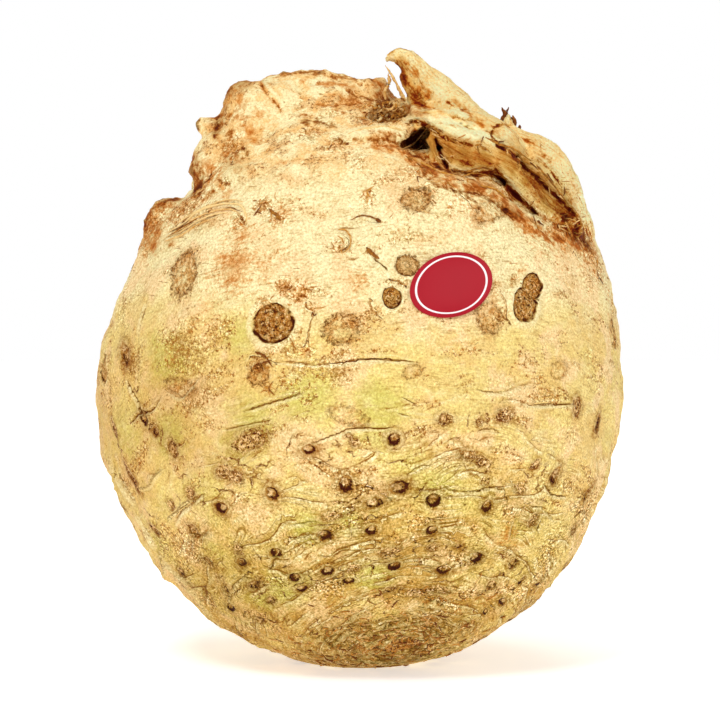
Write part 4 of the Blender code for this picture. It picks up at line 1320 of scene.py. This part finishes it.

    # buds: brown halo, a thin dark outline thickened on one side as painted shade, a painted highlight on the
    # rim's other side, a dark pit and a pale fleck that is the pale middle with a painted highlight
    bent = p.shifted(bud, p.noise(place, 1.1, 4.0, 0.65, colour=True), 0.8)
    bent = p.shifted(bent, p.noise(place, 0.5, 2.0, 0.6, colour=True), 0.5)
    bentX, bentY, budStrength = p.parts(bent)
    leanX, leanY, haloSize = p.parts(p.attribute("budLook"))
    far = p.flatLength(bent)
    near = p.smooth(budGuard, 3.2, 2.6)
    towards = p.plus(p.times(bentX, leanX), p.times(bentY, leanY))
    towards = p.calc("DIVIDE", towards, p.calc("MAXIMUM", far, 0.2))
    # side is 1 on the side of each bud painted in shade and 0 on the side painted lit
    side = p.smooth(towards, -0.6, 0.8)
    solid = p.smooth(budStrength, 0.62, 0.85)
    rosette = p.times(p.flip(solid), p.times(near, p.smooth(budStrength, 0.1, 0.5)))
    budNear = p.times(near, p.smooth(budStrength, 0.1, 0.7))
    halo = p.smooth(p.worn(far, speckle, 3.2), 1.9, 0.5)
    p.coat(t["bark"], halo, budNear, p.smooth(haloSize, 0.0, 1.0, 0.35, 0.9))
    inner = p.times(p.smooth(far, 0.95, 0.6), budNear)
    p.coat(p.mix(p.smooth(speckle, 0.49, 0.57), t["tan"], t["bark"]), inner, 0.75)
    budRimHighlight = p.times(p.line(far, 0.95, 0.14, 0.04), p.smooth(side, 0.7, 0.2))
    p.coat(t["cream"], budRimHighlight, budNear, 0.4)
    ringMiddle = p.smooth(haloSize, 0.0, 1.0, 0.66, 0.5)
    ringWidth = p.plus(0.1, p.times(side, p.smooth(middle, 0.4, 0.62, 0.06, 0.16)))
    darkRing = p.calc("DIVIDE", p.calc("ABSOLUTE", p.calc("SUBTRACT", far, ringMiddle)), ringWidth)
    darkRing = p.times(p.smooth(darkRing, 1.5, 0.7), p.smooth(p.plus(side, p.times(fine, 1.4)), 0.4, 0.75))
    darkRing = p.times(darkRing, solid, near)
    p.coat(t["darkBark"], darkRing)
    aside = p.plus(far, p.times(towards, p.times(far, 0.5)))
    budFleckAndHighlight = p.times(p.smooth(aside, 0.44, 0.24), p.smooth(fine, 0.42, 0.5), budNear)
    p.coat(t["pink"], budFleckAndHighlight, p.smooth(haloSize, 0.2, 0.8, 0.4, 0.85))
    grain1, grain2 = p.noise(place, 0.62, 3.0, 0.75), p.noise(place, 1.4, 3.0, 0.7)
    rosetteReach = p.smooth(p.worn(far, fine, 2.0), 1.4, 0.7)
    rosette = p.times(rosette, rosetteReach)
    p.coat(t["pink"], p.smooth(grain1, 0.5, 0.43), p.times(rosette, 0.9))
    p.coat(t["bark"], p.smooth(grain1, 0.53, 0.57), p.times(rosette, 0.85))
    p.coat(t["darkBark"], p.smooth(grain1, 0.56, 0.61), rosette)
    arcs = p.calc("FRACT", p.worn(p.times(far, 2.3), middle, 1.2))
    arcs = p.times(p.line(arcs, 0.5, 0.2, 0.07), p.smooth(p.plus(side, fine), 0.6, 0.95))
    p.coat(t["darkBark"], arcs, p.times(rosette, 0.9))
    budLine = p.times(p.line(far, 0.9, 0.1, 0.03), p.smooth(p.plus(side, fine), 0.45, 0.85))
    budLine = p.times(budLine, near, p.times(p.flip(solid), 0.8))
    p.coat(t["bark"], budLine, p.smooth(budStrength, 0.0, 0.6, 0.4, 1.0))
    fold = p.times(p.line(far, 1.35, 0.1, 0.03), p.smooth(middle, 0.44, 0.54))
    p.coat(t["olive"], fold, near, 0.4)

    # scars: corky middle full of dark specks and pale flecks, a thin dark outline, thickened towards the
    # upper right as painted shade
    scarX, scarY, scarStrength = p.parts(scar)
    whole = p.smooth(scarStrength, 0.66, 0.9)
    bentScar = p.shifted(scar, p.noise(place, 3.2, 4.0, 0.6, colour=True), 0.5)
    scarFar = p.plus(p.flatLength(bentScar), p.times(p.plus(speckle, -0.5), p.flip(whole), 2.2))
    nearScar = p.smooth(scarGuard, 2.6, 2.0)
    rimBand = p.times(p.line(scarFar, 1.2, 0.22, 0.08), p.times(nearScar, whole))
    p.coat(t["cream"], rimBand, 0.5)
    inside = p.times(p.smooth(scarFar, 1.02, 0.88), nearScar)
    corkTone = p.mix(p.smooth(grain2, 0.42, 0.6), t["cork"], t["tan"])
    corkTone = p.mix(p.smooth(grain1, 0.52, 0.6), corkTone, t["bark"])
    corkTone = p.mix(p.smooth(grain1, 0.44, 0.38), corkTone, t["pink"])
    corkTone = p.mix(p.smooth(p.noise(place, 0.9, 3.0, 0.8), 0.565, 0.61), corkTone, t["darkBark"])
    weakTone = p.mix(p.smooth(grain2, 0.44, 0.6), t["rootTan"], t["cork"])
    weakTone = p.mix(p.smooth(grain1, 0.53, 0.58), weakTone, t["bark"])
    weakAmount = p.smooth(p.worn(scarStrength, grain2, 3.0), 0.2, 0.8)
    p.coat(weakTone, inside, p.times(p.flip(whole), p.times(weakAmount, 0.75)))
    p.coat(corkTone, inside, whole)
    scarArcs = p.calc("FRACT", p.worn(p.times(scarFar, 2.6), middle, 2.0))
    scarArcs = p.times(p.line(scarArcs, 0.5, 0.2, 0.06), p.smooth(fine, 0.46, 0.56))
    p.coat(t["darkBark"], scarArcs, inside, p.times(scarStrength, 0.85))
    scarShadeWidth = p.smooth(p.plus(scarY, p.times(scarX, 0.4)), -1.0, 1.2, 0.035, 0.12)
    scarLine = p.smooth(p.calc("DIVIDE", p.calc("ABSOLUTE", p.plus(scarFar, -0.94)), scarShadeWidth), 1.4, 0.5)
    scarLine = p.times(scarLine, nearScar, p.smooth(p.noise(place, 2.0, 3.0), 0.36, 0.52))
    rusted = p.times(p.line(scarFar, 0.92, 0.5, 0.15), p.times(nearScar, p.flip(whole)))
    p.coat(t["rust"], rusted, p.times(scarStrength, 0.55))
    dotted = p.times(p.line(scarFar, 0.92, 0.3, 0.1), p.smooth(grain1, 0.5, 0.56))
    p.coat(t["darkBark"], dotted, nearScar, p.times(p.flip(whole), scarStrength))
    p.coat(t["darkBark"], scarLine, p.smooth(whole, 0.0, 1.0, 0.25, 1.0))

    # cracks: a thin dark line with a painted highlight on the lip under it
    wander = p.worn(crackAway, fine, 1.6)
    crackLine = p.times(p.smooth(p.calc("ABSOLUTE", wander), 0.8, 0.25), p.smooth(crackGuard, 2.2, 1.6))
    crackLine = p.times(crackLine, p.smooth(p.noise(place, 2.6, 3.0), 0.3, 0.46, 0.25, 1.0))
    p.coat(t["darkBark"], crackLine, crackDark)
    crackLipHighlight = p.times(p.line(wander, -1.5, 1.0, 0.3), p.smooth(crackGuard, 3.0, 2.4))
    p.coat(t["cream"], crackLipHighlight, p.times(crackDark, 0.75))

    # strokes: cream with painted highlight on the lips and crests, rusty fibre, dark crevices that are brown
    # with painted shade
    p.coat(t["cream"], p.smooth(p.worn(strokeCreamAndHighlight, fine, 0.8), 0.2, 0.8))
    fibre = p.plus(p.times(streak, 0.6), p.times(speckle, 0.4))
    patchy = p.plus(p.noise(place, 2.4, 3.0, 0.6), -0.5)
    rusty = p.plus(p.worn(p.times(strokeRust, 1.1), fibre, 2.4), p.times(patchy, strokeRust, 5.0))
    p.coat(t["rust"], p.smooth(rusty, 0.3, 0.95), 0.8)
    p.coat(t["russet"], p.smooth(rusty, 0.85, 1.3), 0.75)
    darkPatches = p.times(patchy, strokeDarkAndShade, p.smooth(strokeDarkAndShade, 0.95, 0.6, 0.0, 3.0))
    dark = p.plus(p.worn(strokeDarkAndShade, fibre, 2.0), darkPatches)
    p.coat(t["bark"], p.smooth(dark, 0.35, 0.85))
    p.coat(t["darkBark"], p.smooth(dark, 0.7, 1.05))

    # darker in the hollows, brown dirt together with painted shade, deepest in the wide hollows, and a
    # painted highlight on the ridges
    hollowDirtAndShade = p.smooth(p.worn(hollowFine, speckle, 0.9), 0.12, 0.4)
    p.coat(t["bark"], hollowDirtAndShade, 0.6)
    p.coat(t["darkBark"], p.smooth(hollowWide, 0.3, 1.5), 0.95)
    p.coat(t["cream"], p.smooth(hollowFine, -0.03, -0.2), 0.3)

    # overall mottling, stronger towards the leaf end, and darker by 0.3 * shaded on the broad darker parts;
    # green and blue are multiplied by powers of red, which makes dark places browner, most on twisted roots
    spread = p.times(p.smooth(lower, 0.0, 0.7, 0.37, 0.8), p.smooth(dust, 0.0, 1.0, 0.5, 1.35))
    spread = p.times(spread, p.times(p.flip(p.times(rootness, 0.5)), p.flip(p.times(rootEnd, 0.3))))
    shade = p.worn(1.0, finest, p.times(spread, 6.4))
    shade = p.times(p.calc("MAXIMUM", shade, 0.1), p.flip(p.times(shaded, 0.3)))
    softer = p.times(softShade, p.smooth(p.worn(middle, streak, 0.8), 0.34, 0.6, 0.35, 0.68))
    shade = p.times(shade, p.flip(softer))
    zoned = p.plus(p.times(rootness, 0.1), p.times(p.smooth(lower, 0.1, 0.7), -0.11))
    shade = p.times(shade, p.plus(1.0, zoned))
    split = p.node("SeparateColor", p.colour).outputs
    red = p.times(split[0], p.calc("POWER", shade, 0.8))
    knotted = p.smooth(rootness, 0.0, 1.0)
    power = p.plus(p.smooth(lower, 0.1, 0.8, 0.27, 0.08), p.times(knotted, 0.5))
    greener = p.times(split[1], shade, p.calc("POWER", red, power))
    power = p.plus(0.86, p.times(knotted, 1.6))
    bluer = p.times(split[2], p.times(p.calc("POWER", shade, 1.2), p.smooth(rootness, 0.0, 1.0, 1.0, 0.88)))
    bluer = p.times(bluer, p.calc("POWER", red, power))
    p.plug(p.shader.inputs["Base Color"], p.node("CombineColor", red, greener, bluer).outputs[0])

    # relief: fine noise, with creases, cracks and bud rings cut in
    relief = p.plus(p.times(p.noise(place, 1.3, 5.0, 0.7), 0.5), p.times(finest, 0.16))
    relief = p.plus(relief, p.times(p.plus(crease, minor), -0.12))
    relief = p.plus(relief, p.times(hatchWave, bodyOnly, 0.35))
    relief = p.plus(relief, p.times(streak, rootness, 1.2))
    relief = p.plus(relief, p.times(grain1, p.times(inside, scarStrength), 0.9))
    relief = p.plus(relief, p.times(crownWave, crown, 0.9))
    relief = p.plus(relief, p.times(p.plus(crackLine, budLine), -0.15))
    relief = p.plus(relief, p.times(darkRing, -0.25))
    p.plug(p.shader.inputs["Normal"], p.bump(relief, 1.0))
    p.plug(p.shader.inputs["Roughness"], p.smooth(fine, 0.3, 0.7, 0.55, 0.8))
    p.shader.inputs["Specular IOR Level"].default_value = 0.1
    return p.material


mesh.materials.clear()
mesh.materials.append(paintSkin())
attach(celeriac, "root")
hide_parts("celeriac_root")


# places on the finished skin, found by shooting a ray at it

skinFaces = BVHTree.FromObject(celeriac, bpy.context.evaluated_depsgraph_get())


def onSkin(start, way):
    # the first place that the ray meets, and the skin's outward direction there, in mm
    place, normal, face, far = skinFaces.ray_cast(Vector(np.asarray(start) * metre), Vector(way))
    if place is None:
        return None, None
    return np.array(place) / metre, np.array(normal)


def frontPoint(x, z, lift=0.0):
    place, normal = onSkin((x, -120.0, z), (0, 1, 0))
    return None if place is None else place + np.array([0, -lift, 0])


def sidePoint(azimuth, height, lift=0.0):
    # from outside, straight at the upright axis
    turn = math.radians(azimuth)
    way = np.array([math.sin(turn), -math.cos(turn), 0.0])
    place, normal = onSkin(way * 120 + np.array([0, 0, height]), -way)
    return None if place is None else place + normal * lift


# rootlets and torn fibres

fibres = {
    "sides": 7,
    "seed": 5,
    # (x, z) points seen from the front, radius at each end, lift off the skin, tone from pale 0 to dark 1
    "laid": (
        (((-3, 124), (2, 125.2), (6.6, 125.4), (9.4, 124.6)), 0.5, 0.3, 0.2, 0.1),
        (((8.8, 120.6), (11.4, 121.4), (13.6, 123.6), (14.6, 125.6)), 0.22, 0.12, 1.4, 0.35),
        (((10.4, 120), (12.4, 120.2), (14.2, 121.4)), 0.2, 0.1, 1.2, 0.2),
        (((15, 120.6), (17, 118.8), (18.6, 118)), 0.14, 0.08, 0.8, 0),
        (((16, 117.6), (18.4, 118.6), (20.6, 119.2)), 0.14, 0.08, 0.8, 0.1),
        (((17.4, 119.4), (19.4, 117.6), (20.4, 115.8)), 0.13, 0.08, 0.8, 0.1),
        (((19, 116.2), (23.2, 115.6), (27, 116.4), (30, 115.4)), 0.3, 0.15, 0.7, 0.8),
        (((22, 114.6), (25.6, 115.2), (29.2, 114.2)), 0.2, 0.12, 0.6, 0.6),
        (((10.6, 118.8), (14.4, 117), (18.6, 115.2), (22.6, 114.4)), 0.35, 0.2, 0.3, 0.45),
        (((27.6, 123.2), (30.2, 121.8), (33.8, 120.6), (37.2, 118.4)), 0.3, 0.2, 0.3, 0.7),
        (((36.6, 118.8), (40.4, 115.6), (44, 111.4), (47, 107.4)), 0.28, 0.16, 0.35, 0.75),
        (((26.2, 112.6), (29.8, 111.6), (32.6, 109.4)), 0.3, 0.2, 0.3, 0.6),
    ),
    # (azimuth, height) points on the body, the same numbers after
    "round": (
        (((-57, 101.6), (-53, 104), (-48, 106.6), (-41, 108.2), (-35, 108.2), (-31.4, 106.2),
            (-30.6, 103.6)), 0.3, 0.2, 0.2, 0),
        (((-57, 100.6), (-53, 102.8), (-47, 105.4), (-41, 107), (-36, 107), (-32.6, 105.4)),
            0.28, 0.18, 0.2, 0.25),
        (((-58, 100), (-53, 102), (-47, 104.6), (-41, 106.2), (-36, 106.4)), 0.24, 0.16, 0.2, 0),
        (((-56, 103), (-52, 105.6), (-46, 107.8), (-40, 109.4), (-34, 109)), 0.24, 0.16, 0.2, 0.1),
        (((-57, 99.6), (-52, 101.2), (-46, 103.8), (-40, 105.4)), 0.26, 0.16, 0.2, 0.3),
        (((-56, 101), (-50, 104), (-44, 106.2), (-38, 107.6), (-33, 106.8)), 0.2, 0.12, 0.3, 0.8),
        (((-25.6, 107.6), (-24, 106.8), (-22.6, 106.2), (-21.4, 105.2)), 0.3, 0.6, 0.1, 0.75),
        (((-6.6, 103.2), (-4.4, 103), (-3, 101.4), (-3.2, 99.4), (-4.8, 98)), 0.24, 0.16, 0.3, 0.45),
        (((-3.2, 105.2), (-0.6, 106.2), (2, 106), (4.2, 105.2)), 0.14, 0.2, 0.2, 0.85),
        (((3.6, 105.6), (4.8, 104.8)), 0.5, 0.4, 0.1, 0.95),
        (((1, 99.4), (2.6, 98), (4.2, 97)), 0.5, 0.4, 0.15, 0.8),
        (((-24, 76.5), (-21.5, 75.6), (-19.8, 73.4)), 0.3, 0.2, 0.2, 0.9),
        (((110, 98), (118, 101), (126, 100), (133, 103)), 0.4, 0.2, 0.25, 0.4),
        (((-118, 100), (-126, 103), (-134, 102), (-140, 105)), 0.4, 0.2, 0.25, 0.4),
        (((165, 108), (172, 105), (-179, 106)), 0.4, 0.2, 0.25, 0.3),
    ),
    # free points: x, y, z
    "free": (
        (((5.2, -13, 139.2), (6.6, -13.4, 137.2), (8, -14, 134.6), (9.2, -14.6, 132.2),
            (10.4, -15, 129.4)), 0.2, 0.5, 0.3),
        (((6, -12, 137.2), (6.2, -12.6, 135.2), (5.2, -13.4, 133), (5.4, -15, 130.6)), 0.45, 0.35, 0.3),
        (((32.8, -13.6, 124.6), (32, -13.8, 126.4), (32.6, -13.9, 128), (31.8, -14, 129.6)), 0.75, 0.35, 1),
        (((33.6, -13.4, 124.6), (34, -13.2, 126.4), (33, -13.2, 128), (33.5, -13, 129.6)), 0.7, 0.3, 1.1),
        (((34.2, -13.4, 123.8), (34.9, -13.6, 126), (34.3, -13.6, 127.8)), 0.65, 0.35, 0.9),
        (((34.8, -13.6, 122.8), (35.9, -14, 124.2), (36, -14, 125.6)), 0.7, 0.35, 1),
        (((32, -13.8, 123.8), (31.7, -14.4, 125.6), (32.2, -14.4, 127)), 0.6, 0.3, 0.9),
    ),
    "pitCurls": 60,
    "ridgeFringe": 110,
    "crownThreads": 420,
    "corkThreads": 130,
}


def fibreTube(line, first, last, seed):
    # rings of radius first to last along the line, uneven by noise and closed to a point at each end
    sides, count = fibres["sides"], len(line)
    direction = unit(np.gradient(line, axis=0))
    side = unit(np.cross(direction, np.array([0.31, 0.22, 0.92])))
    over = np.cross(side, direction)
    t = np.linspace(0, 1, count)
    radius = (first + (last - first) * t) * (1 + 0.35 * gradientNoise(line / 1.1 + seed, seed))
    radius *= np.minimum(1, 0.25 + 4 * np.minimum(t, 1 - t))
    angle = np.linspace(0, 2 * math.pi, sides, endpoint=False)
    rings = line[:, None] + radius[:, None, None] * (
        side[:, None] * np.cos(angle)[None, :, None] + over[:, None] * np.sin(angle)[None, :, None]
    )
    return closedTube(rings)


def fibreLines():
    # every fibre as (centre line, first radius, last radius, tone)
    rng = np.random.default_rng(fibres["seed"])
    made = []

    def add(points, first, last, shade, steps=6):
        line = [q for q in points if q is not None]
        if len(line) > 1:
            line = curveThrough(np.array(line), steps)
            made.append((line + rng.normal(0, 0.05, line.shape), first, last, shade))

    for path, first, last, lift, shade in fibres["laid"]:
        add([frontPoint(x, z, lift) for x, z in path], first, last, shade)
    for path, first, last, lift, shade in fibres["round"]:
        add([sidePoint(a, h, lift) for a, h in path], first, last, shade)
    for path, first, last, shade in fibres["free"]:
        add([np.array(q, float) for q in path], first, last, shade)

    # curls in the pit between the plateau and the horn: a start on the pit's rim and a few bending steps
    for _ in range(fibres["pitCurls"]):
        point = np.array([rng.uniform(0.8, 9.6), rng.uniform(-26, -20), rng.uniform(126.8, 130.8)])
        way = unit(np.array([rng.normal(0, 1.4), rng.normal(0, 0.5), rng.normal(0, 0.7)]))
        bend = rng.normal(0, 0.9)
        path = [point]
        for step in range(rng.integers(3, 6)):
            c, s = math.cos(bend), math.sin(bend)
            sideways = way[1] + rng.normal(0, 0.25)
            way = unit(np.array([way[0] * c - way[2] * s, sideways, way[0] * s + way[2] * c]))
            path.append(path[-1] + way * rng.uniform(0.4, 1.0))
        wide = rng.uniform(0.12, 0.34)
        add(path, wide, wide * 0.5, rng.uniform(0.0, 0.9))

    # fringe along the torn rim and the edge of the right lobe
    rims = (
        (((9.6, 119.4), (15.8, 115.9), (22.3, 113.9), (29.7, 112.4), (35.3, 107.2), (40, 104)), 1.4),
        (((12, 126.2), (16.8, 124.6), (21.5, 122.2), (27.8, 121)), 0.9),
        (((28.4, 124), (34.6, 119.6), (40.5, 114.6), (46.1, 108)), 0.9),
        (((44, 104.6), (47.4, 103), (50.4, 101)), 1.8),
        (((0, 127), (6, 127.4), (10, 127)), 1.2),
    )
    for k in range(fibres["ridgeFringe"]):
        path, wide = rims[k % len(rims)]
        line = curveThrough(np.array(path, float), 8)
        at = rng.integers(0, len(line) - 1)
        x, z = line[at] + rng.normal(0, wide * 0.5, 2)
        way = unit(line[at + 1] - line[at])
        turn = rng.normal(0, 0.7)
        c, s = math.cos(turn), math.sin(turn)
        way = np.array([way[0] * c - way[1] * s, way[0] * s + way[1] * c]) * rng.uniform(0.6, 1.3)
        lifts = (0.0, rng.uniform(0.1, 0.6), rng.uniform(0.0, 0.8))
        path = [frontPoint(x + way[0] * step, z + way[1] * step, lift) for step, lift in enumerate(lifts)]
        if all(q is not None for q in path) and np.ptp(np.array(path)[:, 1]) < 3:
            add(path, rng.uniform(0.12, 0.3), 0.1, rng.uniform(0.2, 1.0))

    # short threads lying on the crown, mostly round the leaf axis, and on the corky patches in any direction
    def lieDown(place, normal, along, length, wide, shade):
        bend = np.cross(normal, along)
        steps = [place + along * length * s + bend * rng.normal(0, 0.25) * length for s in (-0.5, 0.0, 0.5)]
        path = []
        for step in steps:
            hit, way = onSkin(step + normal * 4, -normal)
            if hit is None or np.linalg.norm(hit - step) > 2.5:
                return
            path.append(hit + normal * rng.uniform(-0.1, 0.35) * wide * 2)
        add(path, wide, wide * 0.6, shade, 4)

    for _ in range(fibres["crownThreads"]):
        place = leafPoint(np.array([abs(rng.normal(0, 14)) + 1]), np.array([rng.uniform(0, 6.28)]))
        ringWay, away = tangents(place)
        turn = rng.normal(0, 1.1)
        along = ringWay[0] * math.cos(turn) + away[0] * math.sin(turn)
        normal = unit(place[0] - np.array(leafEnd["centre"]))
        lieDown(place[0], normal, along, rng.uniform(1.0, 3.2), rng.uniform(0.1, 0.24), rng.uniform(0.2, 1.1))
    for _ in range(fibres["corkThreads"]):
        azimuth, height, spread, strength = corks[rng.integers(len(corks))]
        if strength < 0.7:
            continue
        azimuth = azimuth + rng.normal(0, spread * 0.7)
        place = wallPoint(azimuth, min(height + rng.normal(0, spread * 0.5), 128))
        normal = unit(place - np.array(leafEnd["centre"]))
        along = unit(np.cross(normal, rng.normal(size=3)))
        lieDown(place, normal, along, rng.uniform(1.0, 3.2), rng.uniform(0.1, 0.25), rng.uniform(0.2, 1.0))
    return made


def makeRootlets():
    shells, shades = [], []
    for k, (line, first, last, shade) in enumerate(fibreLines()):
        points, faces = fibreTube(line, first, last, k % 97)
        shells.append((points, faces))
        shades.append(np.full(len(points), shade))
    thing = joinedShells("rootlets", shells)
    storeValue(thing.data, "shade", np.concatenate(shades))
    thing.data.shade_smooth()
    say("%d rootlets and fibres" % len(shells))
    return thing


def paintRootlets():
    p = Paint("rootletFibre")
    place = p.millimetres()
    worn = p.worn(p.attribute("shade", "Fac"), p.noise(place, 0.9, 3.0, 0.7), 1.2)
    colour = p.mix(p.smooth(worn, 0.0, 0.55), tone(250, 216, 148), tone(204, 138, 48))
    colour = p.mix(p.smooth(worn, 0.45, 1.0), colour, tone(112, 54, 6))
    p.plug(p.shader.inputs["Base Color"], colour)
    p.plug(p.shader.inputs["Normal"], p.bump(p.noise(place, 0.5, 2.0), 0.3))
    p.shader.inputs["Roughness"].default_value = 0.75
    p.shader.inputs["Specular IOR Level"].default_value = 0.2
    return p.material


rootlets = makeRootlets()
rootlets.data.materials.append(paintRootlets())
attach(rootlets, "root")
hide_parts("celeriac_root")

# a blank oval paper label following the skin

label = {
    "azimuth": 20.4,
    "height": 91.4,
    "length": 20.0,
    "width": 14.0,
    "turn": 17.0,
    "lift": 0.3,
    "thickness": 0.22,
    "rings": 26,
    "around": 96,
    "red": tone(172, 6, 30),
    "white": tone(252, 244, 244),
    "borderAt": 0.86,
    "borderWidth": 0.03,
}


def makeLabel():
    # ellipse rings on the tangent plane, each point shot back at the skin; the front follows it and the back
    # lies behind the front
    centre = wallPoint(label["azimuth"], label["height"])
    normal = unit(centre - np.array([0, 0, body["waistHeight"]]))
    level = unit(np.cross(np.array([0, 0, 1.0]), normal))
    up = np.cross(normal, level)
    turn = math.radians(label["turn"])
    longWay = level * math.cos(turn) + up * math.sin(turn)
    shortWay = up * math.cos(turn) - level * math.sin(turn)
    share = np.linspace(0, 1, label["rings"])[1:]
    angle = np.linspace(0, 2 * math.pi, label["around"], endpoint=False)
    x = share[:, None] * np.cos(angle) * label["length"] / 2
    y = share[:, None] * np.sin(angle) * label["width"] / 2
    flat = centre + x[..., None] * longWay + y[..., None] * shortWay
    depth = np.zeros(x.shape)
    for at in np.ndindex(x.shape):
        hit, way = onSkin(flat[at] + normal * 20, -normal)
        depth[at] = (hit - flat[at]) @ normal
    # the paper spans small hollows: a smooth fit of second order over the depths, raised to clear the skin
    terms = np.stack([x**0, x, y, x * x, x * y, y * y, x**3, x * x * y, x * y * y, y**3], -1).reshape(-1, 10)
    fitted = (terms @ np.linalg.lstsq(terms, depth.ravel(), rcond=None)[0]).reshape(depth.shape)
    lift = label["lift"] + np.percentile(depth - fitted, 97)
    front = flat + normal * (fitted + lift)[..., None]
    back = front - normal * label["thickness"]
    rings = np.concatenate([front, back[::-1]])
    points, faces = closedTube(rings)
    made = newObject("paperLabel", newMesh("paperLabel", points, faces))
    reach = np.concatenate([share, share[::-1]]).repeat(label["around"])
    storeValue(made.data, "reach", np.concatenate([reach, [0, 0]]))
    return made


def paintLabel():
    p = Paint("labelPaper")
    place = p.millimetres()
    width = label["borderWidth"]
    border = p.line(p.attribute("reach", "Fac"), label["borderAt"], width, width * 0.6)
    red = p.mix(p.times(p.noise(place, 6.0, 3.0), 0.35), label["red"], tone(150, 4, 24))
    p.plug(p.shader.inputs["Base Color"], p.mix(border, red, label["white"]))
    p.shader.inputs["Roughness"].default_value = 0.42
    p.shader.inputs["Specular IOR Level"].default_value = 0.3
    return p.material


paperLabel = makeLabel()
paperLabel.data.materials.append(paintLabel())
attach(paperLabel, "root")
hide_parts("produce_label")
say("label laid")


# studio

studio = {
    "lens": 200.0,
    "distance": 932.4,
    "elevation": 4.5,
    "target": (-0.5, 0.0, 70.6),
    "floorRadius": 0.9,
    "floorGlow": 0.5,
    "bandStrength": 1.0,
    "skyStrength": 0.3,
    # place in metres, size in metres, watts
    "lamps": {
        "keyLight": ((-0.5, -1.2, 1.5), 0.5, 17.0),
        "fillLight": ((1.4, -1.1, 0.8), 1.2, 5.5),
        "topLight": ((0.2, 0.5, 1.9), 1.0, 9.0),
    },
}


def makeStudio():
    scene = bpy.context.scene
    scene.view_settings.view_transform = "Standard"
    scene.view_settings.look = "None"
    camera = bpy.data.cameras.new("camera")
    camera.lens = studio["lens"]
    camera.sensor_width = 36.0
    camera.clip_end = 50.0
    eye = bpy.data.objects.new("camera", camera)
    scene.collection.objects.link(eye)
    tilt = math.radians(studio["elevation"])
    place = np.array(studio["target"]) + studio["distance"] * np.array([0, -math.cos(tilt), math.sin(tilt)])
    eye.location = place * metre
    eye.rotation_euler = (math.pi / 2 - tilt, 0, 0)
    scene.camera = eye

    # the floor: a flat round table top, rings of points round the upright axis
    radius = np.linspace(0.0, 1.0, 14)[1:] ** 1.5 * studio["floorRadius"]
    turn = np.linspace(0, 2 * math.pi, 96, endpoint=False)
    level = -0.00002
    ringX, ringY = radius[:, None] * np.cos(turn), radius[:, None] * np.sin(turn)
    rings = np.stack(np.broadcast_arrays(ringX, ringY, level), -1)
    points = np.vstack([rings.reshape(-1, 3), [[0, 0, level]]])
    faces = [tuple(q) for q in gridQuads(len(radius), 96)]
    faces += [(len(points) - 1, (j + 1) % 96, j) for j in range(96)]
    floorMesh = newMesh("floor", points / metre, [f[::-1] for f in faces])
    floor = newObject("floor", floorMesh)
    pale = bpy.data.materials.new("paleFloor")
    pale.use_nodes = True
    coat = pale.node_tree.nodes["Principled BSDF"].inputs
    coat["Base Color"].default_value = (0.92, 0.92, 0.92, 1)
    coat["Roughness"].default_value = 0.9
    coat["Emission Color"].default_value = (1, 1, 1, 1)
    coat["Emission Strength"].default_value = studio["floorGlow"]
    floorMesh.materials.append(pale)

    # the room: white at the horizon, dimmer overhead
    world = bpy.data.worlds.new("studio")
    scene.world = world
    world.use_nodes = True
    tree = world.node_tree
    tree.nodes["Background"].inputs["Color"].default_value = (1, 1, 1, 1)
    way = tree.nodes.new("ShaderNodeTexCoord")
    split = tree.nodes.new("ShaderNodeSeparateXYZ")
    fade = tree.nodes.new("ShaderNodeMapRange")
    fade.inputs["From Min"].default_value = 0.08
    fade.inputs["From Max"].default_value = 0.3
    fade.inputs["To Min"].default_value = studio["bandStrength"]
    fade.inputs["To Max"].default_value = studio["skyStrength"]
    tree.links.new(way.outputs["Generated"], split.inputs[0])
    tree.links.new(split.outputs["Z"], fade.inputs["Value"])
    tree.links.new(fade.outputs["Result"], tree.nodes["Background"].inputs["Strength"])
    for name, (place, size, power) in studio["lamps"].items():
        data = bpy.data.lights.new(name, "AREA")
        data.shape = "DISK"
        data.size = size
        data.energy = power
        lamp = bpy.data.objects.new(name, data)
        scene.collection.objects.link(lamp)
        lamp.location = place
        aim = np.array([0, 0, 0.07]) - np.array(place)
        lean, heading = math.atan2(math.hypot(aim[0], aim[1]), -aim[2]), math.atan2(aim[1], aim[0])
        lamp.rotation_euler = (lean, 0, heading - math.pi / 2)


makeStudio()
say("studio ready")
